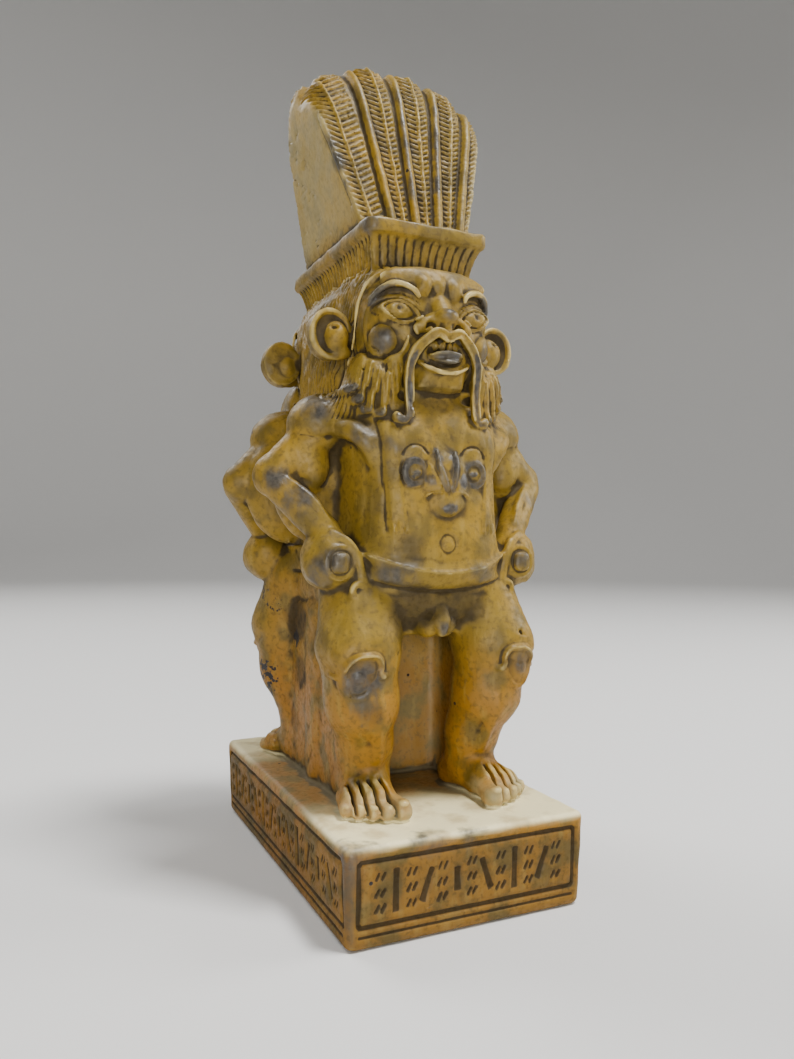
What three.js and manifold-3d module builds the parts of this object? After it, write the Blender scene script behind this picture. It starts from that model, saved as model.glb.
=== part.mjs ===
// A cast stone statuette of Bes: two grotesque dwarf figures back to back on one plinth, under one
// tall feather crown. Everything is a single casting, so the whole object is one closed solid.
// Millimetres, +Z up. The origin is the middle of the underside, the front figure faces -Y.

import * as THREE from 'three';
import { mergeVertices } from 'three/addons/utils/BufferGeometryUtils.js';
import Module from 'manifold-3d';

const wasm = await Module();
wasm.setup();

// Plinth
const plinthWidth = 59.2;
const plinthDepth = 100.3;
const plinthHeight = 21.4;
const plinthEdge = 1.7;
const plinthCorner = 2.2;
const plinthFootInset = 0.8;
const panelMargin = 3.2;
const panelGroove = 1.1;
const panelGrooveDepth = 0.7;
const strokeWidth = 1.5;
const strokePitch = 7.2;

// Figures, from the soles to the top of the hair
const figureHeight = 126;

// Head-dress: a reeded cove, a slab above it and the feathers
const coveHeight = 8.4;
const coveReeds = 13;
const coveSideReeds = 17;
const coveReedDepth = 0.7;
const coveFlare = 2.2;
const coveSetback = 0.9;
const corniceWidth = 32.3;
const corniceDepth = 57.2;
const corniceHeight = 3.4;
const corniceCorner = 2.4;
const corniceEdge = 0.6;
const corniceLedge = 1.6;
const crownHeight = 49.9;
const crownSideDrop = 12;
const crownLean = 0.05;
const crownTopWidth = 57.4;
const crownTopThickness = 13;
const crownLedge = 7.2;
const crownNotch = 1.8;
const featherEdges = [-1, -0.46, -0.03, 0.38, 0.79, 1];
const featherRib = 1.1;
const featherVein = 0.6;

// Depth that one form is sunk into the next, so that they join into one solid
const seam = 0.6;

// Fineness of the free form: the grid that the figure is sampled on and its final facets
const gridStep = 1;
const figureFacets = 2500;
const faceImportance = 4;

// A figure keeps its proportions: places on it are written in parts, 126 to its height, as
// [side, front, up], where side is the distance from its middle line, front the distance before
// the plane between the two figures, and up the height above the soles.
const partsTall = 126;
const onePart = figureHeight / partsTall;

const material = new THREE.MeshStandardMaterial({ color: 0x9c7a35, roughness: 0.55, metalness: 0 });

// Blending of forms

const clamp = (value, low, high) => Math.min(Math.max(value, low), high);
const mix = (from, to, share) => from + (to - from) * share;

function join(a, b, blend) {
  const overlap = Math.max(blend - Math.abs(a - b), 0);
  return Math.min(a, b) - (overlap * overlap) / (4 * blend);
}

function carve(body, tool, blend) {
  return -join(-body, tool, blend);
}

function egg(p, centre, radii) {
  const x = (p[0] - centre[0]) / radii[0];
  const y = (p[1] - centre[1]) / radii[1];
  const z = (p[2] - centre[2]) / radii[2];
  const scaled = Math.hypot(x, y, z);
  const slope = Math.hypot(x / radii[0], y / radii[1], z / radii[2]);
  return slope > 0 ? (scaled * (scaled - 1)) / slope : -Math.min(...radii);
}

// A limb is a rod whose thickness changes evenly from one end to the other.
function limb(p, from, to, fromRadius, toRadius) {
  const dx = to[0] - from[0];
  const dy = to[1] - from[1];
  const dz = to[2] - from[2];
  const px = p[0] - from[0];
  const py = p[1] - from[1];
  const pz = p[2] - from[2];
  const along = clamp((px * dx + py * dy + pz * dz) / (dx * dx + dy * dy + dz * dz), 0, 1);
  return Math.hypot(px - dx * along, py - dy * along, pz - dz * along) - mix(fromRadius, toRadius, along);
}

// A strand is a bent rod of one thickness through several points.
function strand(p, points, radius) {
  let nearest = Infinity;
  for (let i = 1; i < points.length; i += 1) {
    nearest = Math.min(nearest, limb(p, points[i - 1], points[i], radius, radius));
  }
  return nearest;
}

// A column is a body whose rounded-square section changes with height. Each station is
// [up, half width, front]; the sections are centred on `middle` before the back plane.
function column(p, stations, middle, power) {
  const last = stations.length - 1;
  let i = 1;
  while (i < last && p[2] > stations[i][0]) i += 1;
  const [lowUp, lowWidth, lowFront] = stations[i - 1];
  const [highUp, highWidth, highFront] = stations[i];
  const raw = clamp((p[2] - lowUp) / (highUp - lowUp), 0, 1);
  const share = raw * raw * (3 - 2 * raw);
  const width = mix(lowWidth, highWidth, share);
  const depth = mix(lowFront, highFront, share) - middle;
  const across = (Math.abs(p[0]) / width) ** power;
  const along = (Math.abs(p[1] - middle) / depth) ** power;
  const wall = ((across + along) ** (1 / power) - 1) * Math.min(width, depth);
  const ends = Math.max(stations[0][0] - p[2], p[2] - stations[last][0]);
  return Math.max(wall, ends);
}

// Forms of the figure

const torsoStations = [
  [42, 17.5, 31], [49, 20, 34.5], [54, 20, 37.6], [61, 20, 38.3], [69, 19.8, 37.4],
  [79, 20, 36.6], [87, 20.5, 35.6], [95, 19, 33.4], [102, 15, 29],
];

function torso(p) {
  return column(p, torsoStations, 9, 3);
}

function belt(p, body) {
  const rise = (p[0] / 18) ** 2;
  const low = 51 + 2.6 * rise;
  const high = 55.4 + 4.2 * rise;
  const band = Math.abs(p[2] - (low + high) / 2) - (high - low) / 2;
  return Math.max(body - 1.3, band);
}

function pelt(p, body) {
  const middle = mix(11.2, 13.4, clamp((p[2] - 63.6) / 23, 0, 1));
  const band = Math.max(Math.abs(p[0] - middle) - 2, 63.6 - p[2], p[2] - 88, 25 - p[1]);
  return Math.max(body - 0.8, band);
}

function chest(p) {
  let body = torso(p);
  const skin = body;
  body = join(body, egg(p, [8.5, 28, 84], [7.5, 7.6, 6]), 3);
  body = join(body, belt(p, skin), 0.5);
  body = join(body, pelt(p, skin), 0.5);
  const navelRing = Math.abs(Math.hypot(p[0], p[2] - 61.3) - 1.8) - 0.5;
  body = carve(body, Math.max(navelRing, 37.6 - p[1]), 0.4);
  const arcRing = Math.abs(Math.hypot(p[0] - 7.2, p[2] - 81.3) - 3.6) - 0.45;
  body = carve(body, Math.max(arcRing, 82 - p[2], 35.9 - p[1]), 0.4);
  return body;
}

function pendant(p) {
  let mask = egg(p, [0, 36.4, 74.6], [6, 3, 5.4]);
  mask = join(mask, egg(p, [0, 37.6, 70.2], [4.4, 2.6, 3.2]), 1);
  mask = join(mask, limb(p, [1.2, 38.2, 81.4], [0.9, 39, 74.4], 1, 0.8), 0.4);
  mask = join(mask, limb(p, [3.9, 37.8, 79.4], [2.6, 38.6, 74.2], 1.1, 0.8), 0.4);
  const ear = Math.hypot(Math.hypot(p[0] - 7.8, p[2] - 77.6) - 2.3, p[1] - 37.2) - 0.9;
  mask = join(mask, ear, 0.4);
  return join(mask, egg(p, [7.8, 36.8, 77.4], [1.2, 1, 0.8]), 0.3);
}

function leg(p) {
  let body = limb(p, [14.5, 22, 51], [17.9, 28, 38], 10.4, 9.4);
  body = join(body, limb(p, [17.9, 28, 37], [16.6, 27.2, 24.6], 9.2, 8.3), 2);
  body = join(body, limb(p, [16.6, 26.6, 25], [14.5, 24, 15], 8.2, 6.2), 2);
  body = join(body, limb(p, [14.5, 24, 15], [14.2, 22.4, 7], 6.2, 5.9), 2);
  body = join(body, egg(p, [20.6, 34, 33.4], [4.4, 3.3, 5.2]), 1.2);
  return join(body, egg(p, [20.4, 35.4, 29.8], [2, 1.9, 2]), 0.8);
}

// The web behind each leg runs from the calf to the wall between the two figures.
function web(p) {
  const height = clamp(p[2], 0, 44);
  return limb([p[0], p[1], p[2] - height], [16.6, 21, 0], [17.6, 3, 0], 2.6, 2);
}

const wallStations = [[-1, 19.3, 4], [20, 19, 4], [52, 17.5, 4.6]];

function wall(p) {
  return column(p, wallStations, 0, 4);
}

// Toes: root and tip of each, from the big toe outwards, and its thickness
const toes = [
  [[12.9, 33.5, 2.6], [11.9, 39.4, 2.2], 2.3],
  [[15.4, 33.6, 2.4], [15, 38.8, 1.9], 1.5],
  [[17.6, 32.8, 2.3], [17.9, 37.6, 1.8], 1.45],
  [[19.7, 31.4, 2.2], [20.4, 35.9, 1.7], 1.4],
  [[21.5, 29.4, 2.1], [22.5, 33.6, 1.6], 1.35],
];

function foot(p) {
  let body = limb(p, [14, 18, 3.5], [14.6, 24, 5], 5.4, 5.6);
  body = join(body, limb(p, [14.4, 24, 6], [13.9, 33, 3], 5, 2.6), 2);
  body = join(body, limb(p, [15.6, 23, 4], [19.6, 29.5, 2.4], 4.6, 2.4), 2);
  for (const [root, tip, radius] of toes) {
    body = join(body, limb(p, root, tip, radius, radius), 0.5);
  }
  return body;
}

function groin(p) {
  let body = egg(p, [0, 17, 47.5], [17, 17.4, 9]);
  body = join(body, egg(p, [1.7, 31.6, 42.4], [2.8, 3.4, 3]), 1);
  return join(body, limb(p, [0, 32.6, 45.4], [0, 34, 41], 2.2, 1.9), 0.8);
}

function arm(p) {
  let body = egg(p, [24.6, 16.5, 89.2], [6.8, 6.8, 7]);
  body = join(body, limb(p, [8, 15, 92], [21, 15.5, 91], 8, 6), 4);
  const upper = limb(p, [25.6, 15.6, 86], [33, 15, 78], 5.4, 4.8);
  body = join(body, upper, 0.8);
  body = join(body, egg(p, [35, 15, 77.4], [4.4, 4.2, 4.6]), 1.5);
  body = join(body, limb(p, [34.4, 15.6, 76], [27.4, 22.4, 63.6], 4.3, 4.4), 1);
  return join(body, egg(p, [22, 12, 76], [12, 6.6, 15]), 2);
}

function collar(p) {
  return limb(p, [21.4, 26, 87.6], [16.6, 30.6, 82.6], 2.4, 1.8);
}

function fist(p) {
  let body = egg(p, [24.6, 26.2, 57.2], [6.2, 6.6, 7]);
  body = join(body, egg(p, [21, 28.4, 56.4], [3.6, 3.6, 5]), 1.5);
  const ring = Math.hypot(Math.hypot(p[0] - 23.8, p[2] - 57.4) - 3.4, p[1] - 31.2) - 1;
  body = join(body, ring, 0.8);
  body = join(body, egg(p, [23.8, 31.8, 57.4], [2.4, 1.8, 2.6]), 0.3);
  return join(body, egg(p, [19.6, 30.4, 51.4], [2.1, 2, 2.4]), 0.6);
}

// Forms of the head

const faceStations = [
  [95, 12, 27.5], [102, 15.5, 31.5], [108, 17.3, 32.4], [115, 17.6, 32], [121, 16.8, 31], [127, 15.4, 26.6],
];
const hairStations = [
  [93, 21, 19], [102, 20.6, 20.5], [113, 19.8, 22], [121, 18.6, 23], [127, 15.6, 24.4],
];

function ear(p) {
  const across = (p[0] - 22.4) / 5.3;
  const up = (p[2] - 110.9) / 6.1;
  const reach = Math.hypot(across, up);
  const disc = Math.max((reach - 1) * 5.3, Math.abs(p[1] - 19.4) - 1.5);
  const rim = Math.hypot((reach - 0.86) * 5.3, p[1] - 20.8) - 1;
  const boss = egg(p, [22, 21, 111.8], [2.1, 1.7, 2.1]);
  return join(join(disc, rim, 0.5), boss, 0.5);
}

const browPoints = [
  [15.4, 26.8, 117.6], [14.6, 28.8, 119.9], [12.8, 30.6, 121.6],
  [10.3, 31.8, 122.3], [7.8, 32.8, 121.8], [5.4, 33.6, 119.6],
];
const hairlinePoints = [
  [17.4, 23.6, 113], [17.2, 24.6, 118], [15.2, 26.6, 122.8], [10, 29, 125.2], [0, 30, 125.8],
];
const moustachePoints = [
  [0, 36.8, 109.2], [2.4, 37, 109.9], [4.8, 36.8, 109], [6.9, 36.4, 107.4], [8.5, 35.6, 105],
  [9.3, 35.2, 102], [9.3, 34.8, 99], [8.9, 34.4, 93], [9.3, 34.6, 90.4], [10.9, 34.4, 89.4],
];
const cheekRimPoints = [
  [16.3, 26, 107.8], [15.6, 28, 104.8], [13.4, 30, 103.2], [10.8, 32, 104], [9.2, 33.2, 106.4],
];
const lipPoints = [[5.8, 34.4, 103.8], [4.2, 35.8, 102.2], [0, 36.3, 101.2]];

// Beard locks: root and curled end of each, from the ear inwards
const locks = [
  [[19.6, 21.5, 106], [19.9, 24.6, 97.4]],
  [[17.4, 25.5, 104.4], [18.3, 27.4, 94.2]],
  [[14.6, 29, 103.4], [16.6, 29.6, 92]],
  [[11.6, 31.6, 103.6], [14.2, 31.6, 91]],
];

function eye(p) {
  const ball = egg(p, [9.8, 30.4, 115.6], [3.5, 2.6, 2.4]);
  const slant = (p[0] - 9.7) * 0.22;
  const reach = Math.hypot((p[0] - 9.7) / 4.6, (p[2] - 115.4 - slant) / 3.1);
  const lid = Math.hypot((reach - 1) * 3.4, p[1] - 32.4 + 0.5 * Math.max(p[0] - 8, 0)) - 0.8;
  return join(ball, lid, 0.4);
}

function nose(p) {
  let body = limb(p, [0, 31.4, 119.4], [0, 35, 114.6], 2.4, 2.6);
  body = join(body, egg(p, [0, 36, 114], [3, 2.7, 2.4]), 1);
  body = join(body, egg(p, [4.5, 34, 112.1], [2.5, 2.4, 2]), 1);
  return carve(body, egg(p, [3.2, 36.6, 110.8], [1.1, 1.4, 0.9]), 0.4);
}

function mouth(p, head) {
  let body = join(head, egg(p, [0, 28.6, 104.4], [9.4, 7.6, 8]), 2);
  body = join(body, egg(p, [0, 29, 99.6], [6.8, 6, 3.4]), 0.8);
  body = carve(body, egg(p, [0, 37, 104.8], [6.4, 3.6, 3]), 0.5);
  for (let tooth = 0; tooth < 3; tooth += 1) {
    const across = 1 + 1.9 * tooth;
    body = join(body, egg(p, [across, 34.4 - 0.12 * across * across, 107], [1.05, 1.5, 1.6]), 0.2);
  }
  body = join(body, egg(p, [0, 33.8, 103.9], [4.4, 5, 1.7]), 0.4);
  return join(body, strand(p, lipPoints, 0.95), 0.6);
}

function beard(p) {
  let body = egg(p, [13.6, 25, 98.6], [6.6, 7, 8]);
  for (const [root, end] of locks) {
    const curl = [end[0] + 1, end[1], end[2] - 0.6];
    body = join(body, strand(p, [root, end, curl], 1.2), 0.5);
  }
  return body;
}

function head(p) {
  let body = column(p, faceStations, 7, 2.5);
  body = join(body, column(p, hairStations, 0, 3), 1);
  body = join(body, ear(p), 0.6);
  body = join(body, beard(p), 1);
  body = join(body, egg(p, [13.3, 27, 108.6], [4.3, 4.6, 4.3]), 0.8);
  body = join(body, strand(p, cheekRimPoints, 0.8), 0.6);
  body = join(body, strand(p, hairlinePoints, 0.9), 0.8);
  body = join(body, egg(p, [0, 32.4, 122.6], [2.2, 2, 2]), 0.8);
  body = join(body, egg(p, [4.2, 32, 122.6], [1.9, 1.9, 1.9]), 0.8);
  body = carve(body, egg(p, [9.8, 34.6, 116.4], [5.6, 3.6, 4.4]), 1);
  body = join(body, eye(p), 0.3);
  body = join(body, strand(p, browPoints, 1.1), 0.6);
  body = join(body, nose(p), 1);
  body = mouth(p, body);
  return join(body, strand(p, moustachePoints, 1.05), 0.4);
}

// Above `legsEnd` and below `headStart` a point is too far from the legs or the head to feel them.
const legsEnd = 72;
const headStart = 78;

function figureField(p) {
  let body = chest(p);
  if (p[2] < legsEnd) {
    body = join(body, groin(p), 2);
    body = join(body, leg(p), 1.5);
    body = join(body, web(p), 1);
    body = join(body, wall(p), 1);
    body = join(body, foot(p), 1.5);
  }
  body = join(body, arm(p), 1.5);
  body = join(body, collar(p), 1);
  body = join(body, fist(p), 0.8);
  body = join(body, pendant(p), 0.4);
  return p[2] > headStart ? join(body, head(p), 0.8) : body;
}

// Surface of a field. The grid is filled block by block, and a block that lies well off the surface
// takes one value. Each cell is split into six tetrahedra along its main diagonal, and each
// tetrahedron that the surface crosses gives one or two triangles.

const blockCells = 6;
const blockMargin = 1.6;
const cellCorners = [0, 1, 2, 3, 4, 5, 6, 7].map((i) => [i & 1, (i >> 1) & 1, (i >> 2) & 1]);
const cellTetrahedra = [[0, 1, 3, 7], [0, 3, 2, 7], [0, 2, 6, 7], [0, 6, 4, 7], [0, 4, 5, 7], [0, 5, 1, 7]];

// The faces of one tetrahedron, by which of its four corners are inside. Corners are named by
// their place in it, and a pair stands for the point where the surface crosses that edge.
function crossedFaces(insideMask) {
  const within = [0, 1, 2, 3].filter((n) => insideMask & (1 << n));
  const without = [0, 1, 2, 3].filter((n) => !(insideMask & (1 << n)));
  const order = within.concat(without);
  let swaps = 0;
  for (let a = 0; a < 4; a += 1) {
    for (let b = a + 1; b < 4; b += 1) {
      if (order[a] > order[b]) swaps += 1;
    }
  }
  const faces = [];
  if (within.length === 1) faces.push(without.map((n) => [within[0], n]));
  if (within.length === 3) faces.push(within.map((n) => [n, without[0]]));
  if (within.length === 2) {
    const [a, b, c, d] = [[0, 0], [0, 1], [1, 1], [1, 0]].map(([i, j]) => [within[i], without[j]]);
    faces.push([a, b, c], [a, c, d]);
  }
  return swaps % 2 === 0 ? faces : faces.map(([a, b, c]) => [a, c, b]);
}

const tetrahedronFaces = Array.from({ length: 16 }, (_, mask) => crossedFaces(mask));

function sampleField(field, low, count, step) {
  const values = new Float64Array(count[0] * count[1] * count[2]);
  const reach = blockMargin * step * blockCells * Math.sqrt(0.75);
  const blocks = count.map((n) => Math.ceil(n / blockCells));
  for (let block = 0; block < blocks[0] * blocks[1] * blocks[2]; block += 1) {
    const row = Math.floor(block / blocks[0]);
    const places = [block % blocks[0], row % blocks[1], Math.floor(row / blocks[1])];
    const first = places.map((n) => n * blockCells);
    const middle = field(first.map((n, axis) => low[axis] + (n + blockCells / 2) * step));
    for (let k = first[2]; k < Math.min(first[2] + blockCells, count[2]); k += 1) {
      for (let j = first[1]; j < Math.min(first[1] + blockCells, count[1]); j += 1) {
        for (let i = first[0]; i < Math.min(first[0] + blockCells, count[0]); i += 1) {
          const far = Math.abs(middle) > reach;
          const value = far ? middle : field([low[0] + i * step, low[1] + j * step, low[2] + k * step]);
          values[i + count[0] * (j + count[1] * k)] = Math.abs(value) < 1e-4 ? 1e-4 : value;
        }
      }
    }
  }
  return values;
}

function surfaceOf(field, low, high, step) {
  const count = low.map((value, axis) => Math.ceil((high[axis] - value) / step) + 1);
  const values = sampleField(field, low, count, step);
  const strides = [1, count[0], count[0] * count[1]];
  const steps = cellCorners.map((corner) => corner.reduce((sum, on, axis) => sum + on * strides[axis], 0));
  const positions = [];
  const triangles = [];
  const crossings = new Map();
  const coordinate = (n, axis) => low[axis] + step * (Math.floor(n / strides[axis]) % count[axis]);
  const crossing = (from, to) => {
    const [a, b] = from < to ? [from, to] : [to, from];
    const key = a * 8 + steps.indexOf(b - a);
    let vertex = crossings.get(key);
    if (vertex === undefined) {
      const share = values[a] / (values[a] - values[b]);
      vertex = positions.length / 3;
      crossings.set(key, vertex);
      for (let axis = 0; axis < 3; axis += 1) {
        positions.push(mix(coordinate(a, axis), coordinate(b, axis), share));
      }
    }
    return vertex;
  };
  for (let cell = 0; cell < values.length - steps[7]; cell += 1) {
    const row = Math.floor(cell / count[0]);
    if (cell % count[0] === count[0] - 1 || row % count[1] === count[1] - 1) continue;
    const inside = values[cell] < 0;
    if (steps.every((offset) => values[cell + offset] < 0 === inside)) continue;
    for (const corners of cellTetrahedra) {
      const nodes = corners.map((corner) => cell + steps[corner]);
      const mask = nodes.reduce((sum, node, n) => sum + (values[node] < 0 ? 1 << n : 0), 0);
      for (const face of tetrahedronFaces[mask]) {
        for (const [a, b] of face) triangles.push(crossing(nodes[a], nodes[b]));
      }
    }
  }
  return { positions, triangles };
}

// Fewer facets: the edge whose removal moves the surface least is taken away again and again. The
// cost of a point is the sum of its squared distances to the planes of the faces merged into it.

const flipLimit = 0.25;
const evenness = 2e-3;

class Heap {
  constructor() {
    this.items = [];
  }

  push(item) {
    const { items } = this;
    let at = items.length;
    items.push(item);
    while (at > 0) {
      const parent = (at - 1) >> 1;
      if (items[parent].cost <= item.cost) break;
      items[at] = items[parent];
      at = parent;
    }
    items[at] = item;
  }

  pop() {
    const { items } = this;
    const top = items[0];
    const last = items.pop();
    if (items.length === 0) return top;
    let at = 0;
    for (;;) {
      let child = 2 * at + 1;
      if (child >= items.length) break;
      if (child + 1 < items.length && items[child + 1].cost < items[child].cost) child += 1;
      if (items[child].cost >= last.cost) break;
      items[at] = items[child];
      at = child;
    }
    items[at] = last;
    return top;
  }
}

const subtract = (a, b) => [a[0] - b[0], a[1] - b[1], a[2] - b[2]];
const dot = (a, b) => a[0] * b[0] + a[1] * b[1] + a[2] * b[2];
const cross = (a, b) => [a[1] * b[2] - a[2] * b[1], a[2] * b[0] - a[0] * b[2], a[0] * b[1] - a[1] * b[0]];

// A quadric holds the squared distance to a set of planes as ten coefficients.
function planeQuadric(normal, offset, weight) {
  const [a, b, c] = normal;
  return [a * a, a * b, a * c, a * offset, b * b, b * c, b * offset, c * c, c * offset, offset * offset]
    .map((value) => value * weight);
}

function quadricCost(q, x, y, z) {
  return q[0] * x * x + q[4] * y * y + q[7] * z * z + q[9]
    + 2 * (q[1] * x * y + q[2] * x * z + q[5] * y * z + q[3] * x + q[6] * y + q[8] * z);
}

// Writes into `place` where one point best stands for two, and returns what that costs.
function settle(q, from, to, place) {
  const cofactor0 = q[4] * q[7] - q[5] * q[5];
  const cofactor1 = q[2] * q[5] - q[1] * q[7];
  const cofactor2 = q[1] * q[5] - q[2] * q[4];
  const size = q[0] * cofactor0 + q[1] * cofactor1 + q[2] * cofactor2;
  const middle = [(from[0] + to[0]) / 2, (from[1] + to[1]) / 2, (from[2] + to[2]) / 2];
  const length = Math.hypot(from[0] - to[0], from[1] - to[1], from[2] - to[2]);
  const uneven = evenness * length ** 2;
  if (size > 1e-5 * (q[0] + q[4] + q[7]) ** 3) {
    const cofactor3 = q[0] * q[7] - q[2] * q[2];
    const cofactor4 = q[1] * q[2] - q[0] * q[5];
    const cofactor5 = q[0] * q[4] - q[1] * q[1];
    const x = -(q[3] * cofactor0 + q[6] * cofactor1 + q[8] * cofactor2) / size;
    const y = -(q[3] * cofactor1 + q[6] * cofactor3 + q[8] * cofactor4) / size;
    const z = -(q[3] * cofactor2 + q[6] * cofactor4 + q[8] * cofactor5) / size;
    if (Math.hypot(x - middle[0], y - middle[1], z - middle[2]) < 1.5 * length) {
      place[0] = x;
      place[1] = y;
      place[2] = z;
      return Math.max(quadricCost(q, x, y, z), 0) + uneven;
    }
  }
  let least = Infinity;
  for (const [x, y, z] of [from, to, middle]) {
    const cost = quadricCost(q, x, y, z);
    if (cost < least) {
      least = cost;
      place[0] = x;
      place[1] = y;
      place[2] = z;
    }
  }
  return Math.max(least, 0) + uneven;
}

function simplified({ positions, triangles }, facets, importance) {
  const points = Array.from({ length: positions.length / 3 }, (_, n) => positions.slice(3 * n, 3 * n + 3));
  const quadrics = points.map(() => new Float64Array(10));
  const around = points.map(() => []);
  const versions = new Int32Array(points.length);
  const faces = Array.from({ length: triangles.length / 3 }, (_, n) => triangles.slice(3 * n, 3 * n + 3));
  const alive = new Uint8Array(faces.length).fill(1);
  const normalOf = ([a, b, c]) => cross(subtract(points[b], points[a]), subtract(points[c], points[a]));
  faces.forEach((face, n) => {
    const normal = normalOf(face);
    const length = Math.hypot(...normal);
    const unit = length > 0 ? normal.map((value) => value / length) : [0, 0, 0];
    const quadric = planeQuadric(unit, -dot(unit, points[face[0]]), length * importance(points[face[0]]));
    for (const corner of face) {
      around[corner].push(n);
      for (let i = 0; i < 10; i += 1) quadrics[corner][i] += quadric[i];
    }
  });
  const heap = new Heap();
  const sum = new Float64Array(10);
  const place = [0, 0, 0];
  const weigh = (a, b) => {
    for (let i = 0; i < 10; i += 1) sum[i] = quadrics[a][i] + quadrics[b][i];
    return settle(sum, points[a], points[b], place);
  };
  const consider = (a, b) => heap.push({ cost: weigh(a, b), a, b, stamp: versions[a] + versions[b] });
  const neighbours = (vertex) => {
    const found = new Set();
    for (const n of around[vertex]) for (const corner of faces[n]) found.add(corner);
    found.delete(vertex);
    return found;
  };
  const flips = (vertex, other) => around[vertex].some((n) => {
    const face = faces[n];
    if (face.includes(other)) return false;
    const before = normalOf(face);
    const [a, b, c] = face.map((corner) => (corner === vertex ? place : points[corner]));
    const after = cross(subtract(b, a), subtract(c, a));
    return dot(before, after) <= flipLimit * Math.hypot(...before) * Math.hypot(...after);
  });
  points.forEach((_, a) => {
    for (const b of neighbours(a)) if (a < b) consider(a, b);
  });
  let left = faces.length;
  while (left > facets && heap.items.length > 0) {
    const { a, b, stamp } = heap.pop();
    if (around[a].length === 0 || around[b].length === 0 || stamp !== versions[a] + versions[b]) continue;
    weigh(a, b);
    const near = neighbours(b);
    const shared = [...neighbours(a)].filter((vertex) => near.has(vertex));
    if (!near.has(a) || shared.length !== 2 || flips(a, b) || flips(b, a)) continue;
    points[a] = [...place];
    quadrics[a].set(sum);
    for (const n of around[b]) {
      if (faces[n].includes(a)) {
        alive[n] = 0;
        left -= 1;
        for (const corner of faces[n]) {
          if (corner !== b) around[corner] = around[corner].filter((other) => other !== n);
        }
      } else {
        faces[n] = faces[n].map((corner) => (corner === b ? a : corner));
        around[a].push(n);
      }
    }
    around[b] = [];
    versions[a] += 1;
    versions[b] += 1;
    for (const vertex of neighbours(a)) consider(a, vertex);
  }
  const kept = faces.filter((_, n) => alive[n]);
  return { positions: points.flat(), triangles: kept.flat() };
}

// Solids

function solid(geometry) {
  const bare = geometry.clone();
  bare.deleteAttribute('normal');
  bare.deleteAttribute('uv');
  const merged = mergeVertices(bare, 1e-5);
  return new wasm.Manifold(new wasm.Mesh({
    numProp: 3,
    vertProperties: new Float32Array(merged.attributes.position.array),
    triVerts: new Uint32Array(merged.index.array),
  }));
}

function meshGeometry({ positions, triangles }) {
  const geometry = new THREE.BufferGeometry();
  geometry.setAttribute('position', new THREE.Float32BufferAttribute(positions, 3));
  geometry.setIndex(triangles);
  return geometry;
}

// A block whose unit coordinates (across, through and up, each from -1 to 1, up from 0 to 1) are
// sent to their real place by a function.
function bentBlock(segments, place) {
  const geometry = new THREE.BoxGeometry(2, 2, 1, ...segments);
  geometry.translate(0, 0, 0.5);
  const { position } = geometry.attributes;
  for (let n = 0; n < position.count; n += 1) {
    position.setXYZ(n, ...place(position.getX(n), position.getY(n), position.getZ(n)));
  }
  return solid(geometry);
}

// One figure, from the plane between the two figures forwards, sunk a little into the other figure
// and into the plinth. It faces -Y.
function figureGeometry() {
  const low = [-42.4, -1.6, -2.4];
  const high = [42.4, 44, 128.8];
  const field = ([side, front, up]) => {
    const ends = Math.max(-seam - front, -seam - up, up - partsTall - seam);
    return Math.max(figureField([Math.abs(side), front, up]), ends);
  };
  const importance = ([, front, up]) => (up > 90 && front > 24 ? faceImportance : 1);
  const surface = surfaceOf(field, low, high, gridStep / onePart);
  const geometry = meshGeometry(simplified(surface, figureFacets, importance));
  geometry.scale(onePart, onePart, onePart);
  geometry.rotateZ(Math.PI);
  geometry.translate(0, 0, plinthHeight);
  return geometry;
}

// Cove: a concave moulding from the top of the hair to the slab, cut into upright reeds
const coveTop = plinthHeight + figureHeight + coveHeight;

function coveSolid() {
  const bottom = [13.6 * onePart, 24.8 * onePart];
  const top = [corniceWidth / 2 - coveSetback, corniceDepth / 2 - coveSetback];
  const relief = (share, reeds) => coveReedDepth * Math.abs(Math.sin((share + 1) / 2 * Math.PI * reeds));
  const foot = plinthHeight + figureHeight - seam;
  return bentBlock([2 * coveReeds, 2 * coveSideReeds, 2], (u, v, t) => {
    const flare = t ** coveFlare;
    const width = mix(bottom[0], top[0], flare);
    const depth = mix(bottom[1], top[1], flare);
    const x = u * width + Math.sign(u) * (Math.abs(u) === 1 ? relief(v, coveSideReeds) : 0);
    const y = v * depth + Math.sign(v) * (Math.abs(v) === 1 ? relief(u, coveReeds) : 0);
    return [x, y, mix(foot, coveTop + seam, t)];
  });
}

function roundedSlab(width, depth, height, corner, bevel) {
  const shape = new THREE.Shape();
  const x = width / 2 - bevel;
  const y = depth / 2 - bevel;
  const r = corner - bevel;
  shape.moveTo(x - r, -y);
  shape.absarc(x - r, -y + r, r, -Math.PI / 2, 0);
  shape.absarc(x - r, y - r, r, 0, Math.PI / 2);
  shape.absarc(-x + r, y - r, r, Math.PI / 2, Math.PI);
  shape.absarc(-x + r, -y + r, r, Math.PI, 1.5 * Math.PI);
  const geometry = new THREE.ExtrudeGeometry(shape, {
    depth: height - 2 * bevel, curveSegments: 2, bevelSize: bevel, bevelThickness: bevel, bevelSegments: 2,
  });
  geometry.translate(0, 0, bevel);
  return geometry;
}

function corniceSolid() {
  const geometry = roundedSlab(corniceWidth, corniceDepth, corniceHeight, corniceCorner, corniceEdge);
  geometry.translate(0, 0, coveTop);
  return solid(geometry);
}

// Crown: a wedge that widens sideways and thins upwards, with a rounded ridge. Each of its two
// broad faces is a row of upright feathers with domed tips and a raised middle vein, and every
// feather but the first starts with a rib along its left edge. The last one is cut by the side.
const crownRoundingStart = 0.7;
const stepsPerFeather = 5;

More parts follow.
